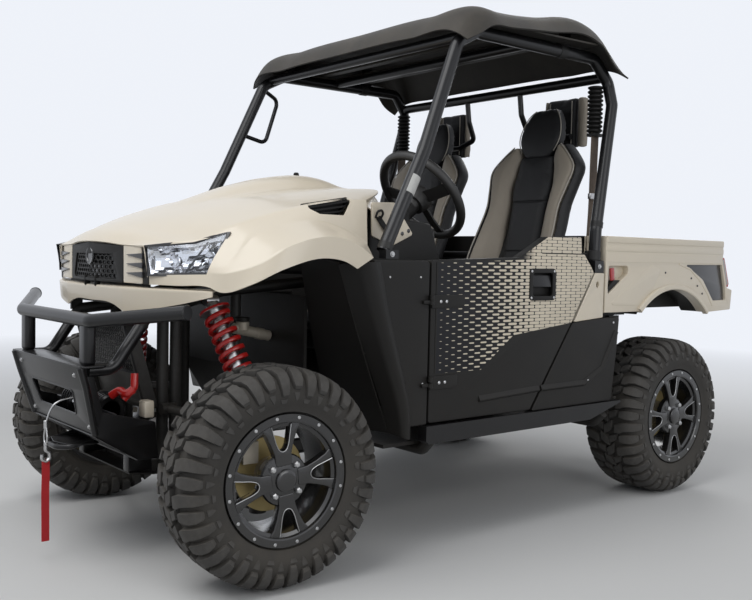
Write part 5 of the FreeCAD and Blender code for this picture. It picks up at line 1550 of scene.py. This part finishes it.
def filled(bm):
    """The shell with an even skin, swollen by cloth under pressure."""
    skin_mesh = modified(bm, ("REMESH", {"mode": "VOXEL", "voxel_size": SKIN_GRID}),
                         ("SMOOTH", {"iterations": 3}))
    start = moved(skin_mesh, Matrix.Scale(0.001, 4))
    mesh = bpy.data.meshes.new("pad")
    start.to_mesh(mesh)
    obj = bpy.data.objects.new("pad", mesh)
    scene.collection.objects.link(obj)
    cloth = obj.modifiers.new("Cloth", "CLOTH")
    cloth.settings.use_pressure = True
    cloth.settings.uniform_pressure_force = FILL_PRESSURE
    cloth.settings.effector_weights.gravity = 0
    for step in range(1, FILL_FRAMES + 1):
        scene.frame_set(step)
    result = to_bmesh(obj)
    scene.frame_set(1)
    for vert, old in zip(result.verts, skin_mesh.verts):
        move = vert.co * 1000 - old.co
        if move.length > FILL_CAP:
            move = move.normalized() * FILL_CAP
        vert.co = old.co + move * FILL_SHARE
    return result


CHANNEL_HALF = 6.0


def sewn(bm, heights, deep=4.0):
    """Channels pressed into the front of a finer mesh at the named heights."""
    if not heights:
        return bm
    fine = modified(bm, ("SUBSURF", {"levels": 1}))
    fine.normal_update()
    for vert in fine.verts:
        for height in heights:
            near = 1 - abs(vert.co.z - height) / CHANNEL_HALF
            if near > 0 and vert.normal.x > 0.5:
                vert.co.x -= deep * near
    return fine


SEAT_Y = 330
# height, middle x, ridge x, ridge half width, half width of the middle panel
BACK = [(742, -346, -246, 213, 95), (860, -374, -282, 213, 96), (980, -402, -318, 213, 98),
        (1090, -426, -366, 204, 99), (1194, -449, -408, 194, 100), (1270, -466, -436, 208, 106),
        (1345, -484, -462, 218, 96), (1400, -494, -480, 176, 86), (1446, -502, -496, 124, 104)]
HEADREST = [(1396, 62, -496), (1420, 84, -500), (1470, 106, -509), (1540, 95, -528), (1578, 74, -540),
            (1598, 52, -552)]
CUSHION = [(178, 700, 108), (150, 716, 108), (60, 712, 110), (-60, 706, 112), (-160, 702, 108),
           (-236, 716, 100)]


def on_seat(loop):
    """A loop set about the middle of the left seat."""
    return [Vector((x, SEAT_Y + y, z)) for x, y, z in loop]


back_centre = loft([on_seat([(x - 14, -w, z), (x - 2, 12 - w, z), (x + 2, 0, z), (x - 2, w - 12, z),
                             (x - 14, w, z),
                             (x - 48, w, z), (x - 48, -w, z)]) for z, x, _, _, w in BACK[:-1]])
bolsters, side_bands = [], []
for s in (1, -1):
    bolsters.append(loft([on_seat([(x - 12, s * (w + 3), z), (x - 1, s * (w + 13), z),
                                   ((x + ridge) / 2 + 5, s * (w + half) / 2, z),
                                   (ridge - 3, s * (half - 12), z),
                                   (ridge - 12, s * (half - 1), z), (ridge - 56, s * (half - 6), z),
                                   (x - 46, s * (w + 3), z)]) for z, x, ridge, half, w in BACK]))
    side_bands.append(loft([on_seat([(ridge - 15, s * (half + 2), z), (ridge - 16, s * (half + 10), z),
                                     (ridge - 34, s * (half + 19), z), (ridge - 58, s * (half + 20), z),
                                     (ridge - 82, s * (half + 8), z), (ridge - 80, s * (half - 24), z),
                                     (ridge - 60, s * (half - 2), z)]) for z, x, ridge, half, w in BACK]))
headrest = loft([on_seat([(x - 10, -h, z), (x, 14 - h, z), (x + 3, 0, z), (x, h - 14, z), (x - 10, h, z),
                          (x - 56, h - 4, z), (x - 56, 4 - h, z)]) for z, h, x in HEADREST])
cushion = loft([on_seat([(x, -w, z - 12), (x, 12 - w, z - 2), (x, 0, z + 2), (x, w - 12, z - 2),
                         (x, w, z - 12), (x, w, z - 60), (x, -w, z - 60)]) for x, z, w in CUSHION])
cushion_sides = [loft([on_seat([(x, s * (w + 3), z - 10), (x, s * (w + 14), z), (x, s * (w + 60), z + 8),
                                (x, s * 212, z + 8), (x, s * 224, z - 4), (x, s * 224, z - 62),
                                (x, s * (w + 3), z - 60)]) for x, z, w in CUSHION]) for s in (1, -1)]
cushion_front = loft([on_seat([(178, y, 646), (186, y, 668), (188, y, 690), (184, y, 704), (180, y, 700),
                               (172, y, 646)])
                      for y in (-218, -110, 0, 110, 218)])
seat_base = box((-372, SEAT_Y - 222, 563), (150, SEAT_Y + 222, 642), 14, 3)
back_shell = loft([on_seat([(ridge - 84, -half + 6, z), (ridge - 84, half - 6, z),
                            (ridge - 92, half - 14, z),
                            (ridge - 92, 14 - half, z)]) for z, x, ridge, half, w in BACK])
piping = [sweep(through([Vector((ridge - 9, SEAT_Y + s * (half + 1), z)) for z, _, ridge, half, _ in BACK],
                        4),
                ring(2.6, 8)) for s in (1, -1)]
piping += [sweep(through([Vector((x - 6, SEAT_Y + s * (h + 1), z)) for z, h, x in HEADREST[1:]], 4),
                 ring(2.2, 8))
           for s in (1, -1)]
PADS = {
    "centre": ([sewn(filled(back_centre), (1003, 1210)), sewn(filled(headrest), ()),
                sewn(filled(cushion), ())],
               seat_black),
    "bolsters": ([sewn(filled(bm), ()) for bm in bolsters + cushion_sides], seat_taupe),
    "bands": ([sewn(filled(bm), ()) for bm in side_bands + [cushion_front]], seat_black),
}
for side, make in SIDES:
    for label, (meshes, material) in PADS.items():
        soft = piece(f"seat_{side}_{label}", "chassis", [(make(merged(meshes)), material)],
                     ["seat_" + side] if label == "centre" else ())
    piece(f"seat_{side}_shell", "chassis", [(make(merged([seat_base, back_shell])), black_mould),
                                            (make(merged(piping)), seat_piping)])

# %% [markdown]
# Two pads hang behind the head rests, with a dark middle, pale upright lines and taupe outer edges.

# %% Head pads
HEAD = [(1449, 102), (1462, 105), (1540, 106), (1640, 105), (1655, 102)]


def head_loops(low, high, front, back):
    """Loops of one strip of the head pad, between two distances from the vehicle's middle."""
    loops = []
    for z, half in HEAD:
        y0, y1 = max(low, 344 - half), min(high, 344 + half)
        turn = min(9, (y1 - y0) / 3)
        loops.append([(front - 8, y0, z), (front, y0 + turn, z), (front + 1, (y0 + y1) / 2, z),
                      (front, y1 - turn, z), (front - 8, y1, z), (back, y1 - 3, z), (back, y0 + 3, z)])
    return loops


head_middle = filled(loft(head_loops(256, 410, -649, -690)))
head_edges = [filled(loft(head_loops(238, 252, -652, -688))), filled(loft(head_loops(414, 450, -650, -690)))]
head_lines = [sweep([(-645, y, 1462), (-645, y, 1642)], ring(2.0, 8)) for y in (276, 392)]
for side, make in SIDES:
    soft = piece("head_pad_" + side, "chassis", [
        (make(sewn(head_middle, (1500, 1600), 2.0)), seat_black), (make(merged(head_edges)), seat_taupe),
        (make(merged(head_lines)), seat_piping)], ["head_pads"] if side == "left" else ())

# %% [markdown]
# ## Steering wheel and dash
# The wheel is drawn flat, with the column along Y, and then laid on the column line.

# %% Steering wheel and dash
HUB = Vector((150, 340, 1200))
COLUMN = Vector((0.788, 0, -0.6157))
on_column = along(HUB, HUB + COLUMN)
grip = [Vector((178 * math.sin(math.tau * i / 72), 0, 178 * math.cos(math.tau * i / 72))) for i in range(72)]
wheel_parts = [sweep(grip, [(16.5 * math.cos(math.tau * i / 18), 18 * math.sin(math.tau * i / 18))
                            for i in range(18)],
                     closed=True, up=(0, 1, 0))]
for degrees in (0, 100, -100):
    a = math.radians(degrees)
    out = Vector((math.sin(a), 0, -math.cos(a)))
    wide = 24 if degrees else 17
    wheel_parts.append(sweep([out * 30 + Vector((0, 16, 0)), out * 100 + Vector((0, 12, 0)), out * 172],
                             [(-wide, -5), (wide, -5), (wide - 3, 4), (3 - wide, 4)], up=(0, -1, 0)))
wheel_parts.append(lathe([(-12, 0), (-12, 34), (-6, 46), (6, 52), (30, 50), (54, 44), (54, 0)], 56))
wheel_parts.append(lathe([(54, 30), (70, 28), (118, 10), (118, 0), (54, 0)], 32))
horn = lathe([(-15, 0), (-14, 22), (-12, 26), (-8, 27), (-8, 0)], 48)
bosses = [bar(out * 118 + Vector((0, 4, 0)), out * 118 + Vector((0, -1, 0)), 9, 1.5, 24) for out in
          (Vector((0.985, 0, 0.174)), Vector((-0.985, 0, 0.174)))]
piece("steering_wheel_look", "steering_wheel", [
    (moved(merged(wheel_parts), on_column), grip_black), (moved(horn, on_column), lamp_dark),
    (moved(merged(bosses), on_column), black_mould)], ["steering_wheel"])
DASH = [(300, 1088, 26), (560, 1108, 18), (590, 900, 20), (336, 900, 20), (252, 960, 18)]
glove_cut = box((240, -480, 972), (330, -120, 1070), 10, 3)
dash_body = carved(plate([rounded(DASH)], -560, 560, edge=10, segments=3), glove_cut)
glove = placed(box((-5, -176, -44), (5, 176, 44), 4), (282, -300, 1018), -18, "Y")
hood_pod = loft([[(x, 340 - w, 1084), (x, 340 - w + 8, z - 16), (x, 340 - w / 2, z), (x, 340 + w / 2, z),
                  (x, 340 + w - 8, z - 16), (x, 340 + w, 1084)] for x, w, z in
                 ((296, 104, 1146), (320, 108, 1152), (420, 96, 1138), (500, 70, 1112))])
dials = [placed(lathe([(-4, 0), (-4, 34), (2, 38), (6, 38), (6, 0)], 40), (296, 340 + y, 1116), 90, "Z")
         for y in (-46, 46)]
shroud = sweep([HUB + COLUMN * 76, HUB + COLUMN * 130, HUB + COLUMN * 290], ring(34, 20))
keys = [box((262 + 4 * (k % 2), -60 + 34 * k, 996), (282, -34 + 34 * k, 1034), 4) for k in range(4)]
vents_round = [placed(lathe([(-4, 14), (-4, 30), (4, 32), (8, 32), (8, 14), (-4, 14)], 32), (286, y, 1040),
                      90, "Z")
               for y in (520, 150, -520)]
piece("dash_look", "chassis", [
    (merged([dash_body, hood_pod, shroud]), black_mould), (merged([glove] + keys + vents_round), grip_black),
    (merged(dials), lamp_dark)], ["dash"])

# %% [markdown]
# ## Belts, cage details and the brake cylinder

# %% Belts, cage fittings and brake cylinder
accordion = [(0, 0), (0, 18)]
for k in range(11):
    accordion += [(4 + 17 * k, 23), (10 + 17 * k, 31), (15 + 17 * k, 31)]
accordion += [(188, 23), (188, 0)]
boot = moved(lathe(accordion, 32), along((-556, 580, 1478), (-556, 580, 1668)))
clamp = box((-582, 560, 1466), (-530, 602, 1480), 4)
belt = sweep(through([(-556, 584, 1484), (-548, 588, 1360), (-536, 596, 1200), (-518, 602, 1010)], 6),
             rect(23, 0.9), up=(0, 1, 0))
tongue = box((-565, 588, 1216), (-515, 604, 1240), 3)
anchor = box((-540, 596, 984), (-494, 612, 1012), 5)
piece("belts_look", "chassis", [(both(boot), black_mould), (both(belt), belt_brown), (both(tongue), steel),
                                (both(merged([clamp, anchor])), frame_paint)], ["belt_retractors"])
fittings = [bolt((586, s * 690, 980), (0, s, 0), 11) for s in (1, -1)]
fittings += [bolt((-461, s * 698, 950), (0, s, 0), 11) for s in (1, -1)]
sleeves = []
for s in (1, -1):
    sleeves.append(bar((-459.2, s * 671.7, 972), (-463, s * 670.3, 1010), 25.5, 2))
    sleeves.append(bar((-473.7, s * 667, 1100), (-480, s * 665, 1124), 24.8, 2))
    sleeves.append(bar((596, s * 661.6, 992), (585, s * 660.4, 1014), 25.5, 2))
    sleeves.append(bar((-330, s * 600, 1763.4), (-290, s * 600, 1763), 25.5, 2))
arc = [math.radians(a) for a in range(-50, 51, 10)]
plate_section = [(24 * math.sin(a), 24 * math.cos(a)) for a in arc]
plate_section += [(22.6 * math.sin(a), 22.6 * math.cos(a)) for a in reversed(arc)]
plain = sweep([(498, 651, 1176), (466, 647.5, 1234)], plate_section, up=(0, 1, 0))
piece("cage_fittings", "chassis",
      [(merged(sleeves), frame_paint), (merged(fittings), steel), (plain, label_grey)])
cylinder = merged([bar((735, 219, 690), (880, 219, 722), 18, 3),
                   bar((760, 219, 695.5), (790, 219, 702), 20, 2),
                   bar((846, 225, 712), (846, 225, 744), 23, 3)])
cap = bar((846, 225, 744), (846, 225, 758), 24, 2.5)
piece("brake_cylinder_look", "chassis", [(cylinder, cast_metal), (cap, black_mould)], ["brake_cylinder"])

# %% [markdown]
# ## Springs
# The coils are flat bars wound between the two cups of each damper.

# %% Coils, cups and collars
DAMPERS = [((993, 268, 818), (930, 440, 486.6)), ((-925, 300, 690), (-905, 430, 487.3))]
WIRE = rounded(rect(6, 7.5), 4, 3)
COIL_RADIUS = 40
COIL_PITCH = 30
coils, caps_red, collars = [], [], []
for top, bottom in DAMPERS:
    top, bottom = Vector(top), Vector(bottom)
    line = (bottom - top).normalized()
    start, stop = top + line * 46, bottom - line * 51
    first = line.orthogonal().normalized()
    second = line.cross(first)
    turns = round((stop - start).length / COIL_PITCH)
    steps = turns * 28
    bm = bmesh.new()
    rings = []
    for i in range(steps + 1):
        a = math.tau * turns * i / steps
        out = first * math.cos(a) + second * math.sin(a)
        middle = start.lerp(stop, i / steps) + out * COIL_RADIUS
        rings.append([bm.verts.new(middle + out * u + line * v) for u, v in WIRE])
    coils.append(both(bridged(bm, rings)))
    cup = lathe([(-14, 20), (-14, 34), (-9, 50.5), (-1.5, 51), (-1.5, 20), (-14, 20)], 40)
    caps_red.append(both(moved(cup, along(top + line * 40, bottom))))
    collars += [both(bar(top + line * (70 + 24 * k), top + line * (76 + 24 * k), 24, 1.5)) for k in range(4)]
piece("springs_look", "chassis", [(merged(coils), spring_red)], ["springs"])
piece("damper_fittings", "chassis", [(merged(caps_red), spring_red), (merged(collars), steel)])

# %% [markdown]
# ## Cargo bed: fenders, lamps and gate

# %% Fenders, tail lamps, gate and floor ribs
ARCH_CENTRE = (REAR_X, 515)
ARCH = [on_circle(ARCH_CENTRE, 343, a) + (0,) for a in range(135, 47, -3)]
FENDER = [(-500, 770, 3), (-500, 1062, 3), (-1353, 1062, 3), (-1353, 1003, 2), (-1346, 1001, 2),
          (-1394, 862, 2),
          (-1437, 852, 6), (-1427, 764, 6), (-1253, 757, 2)] + ARCH
POCKET = [(-519, 953, 8), (-645, 954, 14), (-647, 924, 14), (-607, 899, 6), (-520, 842, 4), (-516, 865, 4)]
ACCENT = [(-1040, 962, 6), (-1344, 964, 4), (-1378, 868, 4), (-1388, 808, 6), (-1282, 806, 8),
          (-1194, 899, 40),
          (-1103, 942, 40)]
REAR_LAMP = [(-1347, 1002, 5), (-1375, 996, 8), (-1419, 880, 10), (-1413, 864, 6), (-1395, 864, 3)]
fender = plate([rounded(FENDER), rounded(POCKET), rounded(ACCENT)], 664, 700, edge=2.5)
fender_parts = [
    fender,
    box((-1353, 588, 1042), (-501, 703, 1070), 5, 3),
    box((-1353, 640, 1010), (-503, 702, 1034), 3),
    plate([rounded([(-503, 968), (-1344, 970), (-1350, 1006), (-503, 1006)], 3)], 696, 701.2, edge=1),
    plate([rounded([(-524, 800), (-803, 960), (-872, 940), (-770, 792)], 8)], 696, 701.2, edge=1),
    sweep(fillet([(-1006, 699, 965), (-1093, 699, 943), (-1174, 699, 893), (-1239, 699, 833),
                  (-1276, 699, 783)], 60),
          [(-6, -1), (6, -1), (3, 3.2), (-3, 3.2)], up=(0, 1, 0)),
    box((-1434, 600, 768), (-1399, 696, 850), 8, 3),
    box((-560, 588, 790), (-502, 666, 1046), 4),
]
flare_line = [(x, 704, z) for x, z in (on_circle(ARCH_CENTRE, 354, a) for a in range(137, 44, -3))]
fender_parts.append(sweep(flare_line, [(-11, -12), (11, -12), (11, 4), (7, 9), (-7, 11), (-11, 8)],
                          up=(0, 1, 0)))
liner_line = [(x, 640, z) for x, z in (on_circle(ARCH_CENTRE, 346, a) for a in range(135, 44, -3))]
liner = sweep(liner_line, rect(2, 52), up=(0, 1, 0))
pocket_back = plate([rounded([(-512, 960), (-652, 960), (-652, 918), (-512, 836)], 6)], 668, 673, edge=1)
accent_back = plate([rounded([(-1030, 970), (-1342, 972), (-1372, 868), (-1384, 800), (-1276, 800),
                              (-1188, 893), (-1097, 934)], 6)], 676, 690, edge=1.5)
slot = plate([rounded([(-604, 897), (-520, 845), (-519, 864), (-560, 897)], 2)], 672, 694, edge=1)
marker = placed(box((-13, -4, -25), (13, 4, 25), 4), (-553, 690, 921), 8, "Y")
fender_bolts = [screw((x, 701, z), 4.5) for x, z in ((-1100, 905), (-1150, 872), (-905, 928), (-1190, 838))]
plain_plate = box((-596, 699.4, 976), (-508, 700.6, 998), 0.4, 1)
piece("bed_fenders_look", "bed", [
    (both(merged(fender_parts)), cream_panel), (both(merged([liner, slot])), black_mould),
    (both(pocket_back), cream_panel), (both(accent_back), lamp_dark), (both(marker), tail_red),
    (both(merged(fender_bolts)), lamp_dark), (both(plain_plate), label_grey)], ["bed_fenders"])
lens_rear = plate([rounded(REAR_LAMP)], 622, 695, edge=4, segments=3)
lens_line = sweep([(-1362, 694, 988), (-1402, 694, 876)], [(-5, -2), (5, -2), (5, 2.4), (-5, 2.4)],
                  up=(0, 1, 0))
lens_body = plate([rounded(REAR_LAMP)], 606, 624, edge=2)
piece("tail_lights_look", "bed", [(both(lens_rear), tail_red), (both(lens_line), label_grey),
                                  (both(lens_body), lamp_dark)], ["tail_lights"])
gate = merged([plate([rounded(rect(554, 132, (0, 938)), 6)], -1391, -1361, "x", 3),
               box((-1394, -500, 844), (-1389, 500, 960), 2.5),
               box((-1395, -540, 1040), (-1359, 540, 1069), 5)])
pull = tube([(-1388, -70, 1015), (-1420, -70, 1015), (-1420, 70, 1015), (-1388, 70, 1015)], 7, 14, 16)
hinge_pins = [bar((-1375, s * 540, 820), (-1375, s * 571, 820), 8, 1.5) for s in (1, -1)]
piece("tailgate_look", "tailgate", [(gate, cream_panel), (pull, black_mould), (merged(hinge_pins), steel)],
      ["tailgate"])
ribs = [box((-1330, y - 22, 799), (-540, y + 22, 806), 3) for y in range(-480, 481, 120)]
cleats = [box((-1280, s * 556 - 6, 900), (-1240, s * 556 + 6, 920), 3) for s in (1, -1)]
piece("bed_floor_ribs", "bed", [(merged(ribs + cleats), black_mould)])

# %% [markdown]
# ## Winch cable, hook and pull strap
# The cable hangs out of the bumper window in one short curve.

# %% Cable, hook and strap
CABLE = [(1.365, 0.094, 0.512), (1.420, 0.096, 0.510), (1.452, 0.092, 0.478), (1.458, 0.084, 0.432)]
cable_data = bpy.data.curves.new("winch_cable_look", "CURVE")
cable_data.dimensions = "3D"
spline = cable_data.splines.new("NURBS")
spline.points.add(len(CABLE) - 1)
for point, place in zip(spline.points, CABLE):
    point.co = place + (1,)
spline.order_u = 3
spline.use_endpoint_u = True
cable_data.resolution_u = 24
cable_data.bevel_depth = 0.003
cable_data.bevel_resolution = 4
cable_data.use_fill_caps = True
cable_data.materials.append(steel)
cable = bpy.data.objects.new("winch_cable_look", cable_data)
scene.collection.objects.link(cable)
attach(cable, "chassis")
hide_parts("winch_cable")
eye = [(1458, 84, 434), (1458, 90, 420), (1458, 97, 396), (1458, 96, 380), (1458, 84, 371), (1458, 72, 380),
       (1458, 71, 396), (1458, 78, 420)]
hook_parts = [sweep(fillet(eye + [eye[0]], 10)[:-1], ring(3, 10), closed=True),
              bar((1458, 84, 446), (1458, 84, 420), 6.5, 1.5),
              tube([(1458, 84, 376), (1458, 84, 356), (1456, 84, 350)], 6, 6),
              tube([(1457, 84, 352), (1446, 84, 344), (1445, 84, 326), (1457, 84, 317), (1470, 84, 326),
                    (1469, 84, 340)],
                   5.5, 8),
              bar((1458, 76, 371), (1458, 92, 371), 4, 1)]
hook = piece("winch_hook_look", "chassis", [(merged(hook_parts), steel)], ["winch_hook"])
strap_rings = [(1458, 84, 325), (1458, 85, 290), (1459, 84, 220), (1458, 83, 140), (1458, 84, 68)]
piece("pull_strap_look", "chassis", [
    (sweep(through(strap_rings, 6), rect(12, 1.4), up=(0, 1, 0)), strap_red)],
    ["pull_strap"])
print("cable through", len(CABLE), "points")

# %% [markdown]
# ## Camera, floor and light
# The camera stands where the vehicle is seen from its front left corner.  The floor and the background are
# plain and pale, and large soft lamps give even light.

# %% Camera, floor, background and lamps
YAW, PITCH, ROLL = (math.radians(degrees) for degrees in (-129.586, -2.822, 1.237))
EYE = (2.48345, 2.90842, 0.97854)
FOCAL, WIDTH = 925.48, 752
SENSOR = 36
ahead = Vector((math.cos(YAW) * math.cos(PITCH), math.sin(YAW) * math.cos(PITCH), math.sin(PITCH)))
right = ahead.cross(Vector((0, 0, 1))).normalized()
above = right.cross(ahead)
right, above = (right * math.cos(ROLL) + above * math.sin(ROLL),
                above * math.cos(ROLL) - right * math.sin(ROLL))
camera = bpy.data.objects.new("camera", bpy.data.cameras.new("camera"))
camera.data.lens = FOCAL / WIDTH * SENSOR
camera.data.sensor_width = SENSOR
camera.matrix_world = Matrix.Translation(EYE) @ Matrix((right, above, -ahead)).transposed().to_4x4()
scene.collection.objects.link(camera)
scene.camera = camera
scene.view_settings.view_transform = "Standard"

BACKDROP = (0.86, 0.89, 0.95, 1)
# the floor turns into the background between these distances from the vehicle, in metres
FADE_START, FADE_WIDTH = 2.6, 5.0
floor_mesh = bpy.data.meshes.new("floor")
floor_bm = bmesh.new()
bmesh.ops.create_grid(floor_bm, x_segments=1, y_segments=1, size=30)
floor_bm.to_mesh(floor_mesh)
floor = bpy.data.objects.new("floor", floor_mesh)
scene.collection.objects.link(floor)
floor_material = bpy.data.materials.new("studio floor")
floor_material.use_nodes = True
floor_tree = floor_material.node_tree
floor_surface = floor_tree.nodes["Principled BSDF"]
floor_vector = add_node(floor_tree, "ShaderNodeTexCoord").outputs["Object"]
floor_cloud = noise_node(floor_tree, floor_vector, 0.6, 3.0)
floor_tree.links.new(mix_colour(floor_tree, floor_cloud.outputs["Fac"], (0.62, 0.62, 0.61, 1),
                                (0.66, 0.66, 0.65, 1)),
                     floor_surface.inputs["Base Color"])
floor_surface.inputs["Roughness"].default_value = 0.9
floor_rays = add_node(floor_tree, "ShaderNodeLightPath")
floor_seen = math_node(floor_tree, "MAXIMUM", floor_rays.outputs["Is Camera Ray"],
                       floor_rays.outputs["Is Glossy Ray"])
floor_seen = math_node(floor_tree, "MAXIMUM", floor_seen, floor_rays.outputs["Is Transmission Ray"])
floor_far = add_node(floor_tree, "ShaderNodeVectorMath", operation="LENGTH")
floor_tree.links.new(floor_vector, floor_far.inputs[0])
floor_fade = math_node(floor_tree, "SUBTRACT", floor_far.outputs["Value"], FADE_START)
floor_fade = math_node(floor_tree, "DIVIDE", floor_fade, FADE_WIDTH, clamp=True)
floor_fade = math_node(floor_tree, "MULTIPLY", floor_fade, floor_seen)
floor_glow = add_node(floor_tree, "ShaderNodeEmission")
floor_glow.inputs["Color"].default_value = BACKDROP
floor_mix = add_node(floor_tree, "ShaderNodeMixShader")
floor_tree.links.new(floor_fade, floor_mix.inputs[0])
floor_tree.links.new(floor_surface.outputs[0], floor_mix.inputs[1])
floor_tree.links.new(floor_glow.outputs[0], floor_mix.inputs[2])
floor_tree.links.new(floor_mix.outputs[0], floor_tree.nodes["Material Output"].inputs["Surface"])
floor_mesh.materials.append(floor_material)

world = bpy.data.worlds.new("studio")
world.use_nodes = True
scene.world = world
sky = world.node_tree
background = sky.nodes["Background"]
rays = add_node(sky, "ShaderNodeLightPath")
seen = math_node(sky, "MAXIMUM", rays.outputs["Is Camera Ray"], rays.outputs["Is Transmission Ray"])
seen = math_node(sky, "MAXIMUM", seen, rays.outputs["Is Glossy Ray"])
background.inputs["Color"].default_value = BACKDROP
sky.links.new(math_node(sky, "MULTIPLY_ADD", seen, 0.6, 0.4), background.inputs["Strength"])


def lamp(name, at, target, size, power):
    """A soft rectangular light that looks at a point."""
    light = bpy.data.lights.new(name, "AREA")
    light.energy = power
    light.shape = "RECTANGLE"
    light.size, light.size_y = size
    obj = bpy.data.objects.new(name, light)
    obj.location = at
    obj.rotation_euler = (Vector(target) - Vector(at)).to_track_quat("-Z", "Y").to_euler()
    scene.collection.objects.link(obj)


lamp("key", (3.0, 0.5, 4.5), (0, 0, 0.8), (3.5, 3.5), 130)
lamp("fill", (0.5, 5.5, 2.6), (0, 0, 0.7), (4.0, 2.5), 62)
lamp("back", (-4.5, -2.5, 3.6), (0, 0, 0.8), (3.0, 3.0), 80)
print("lens", round(camera.data.lens, 2), "mm")
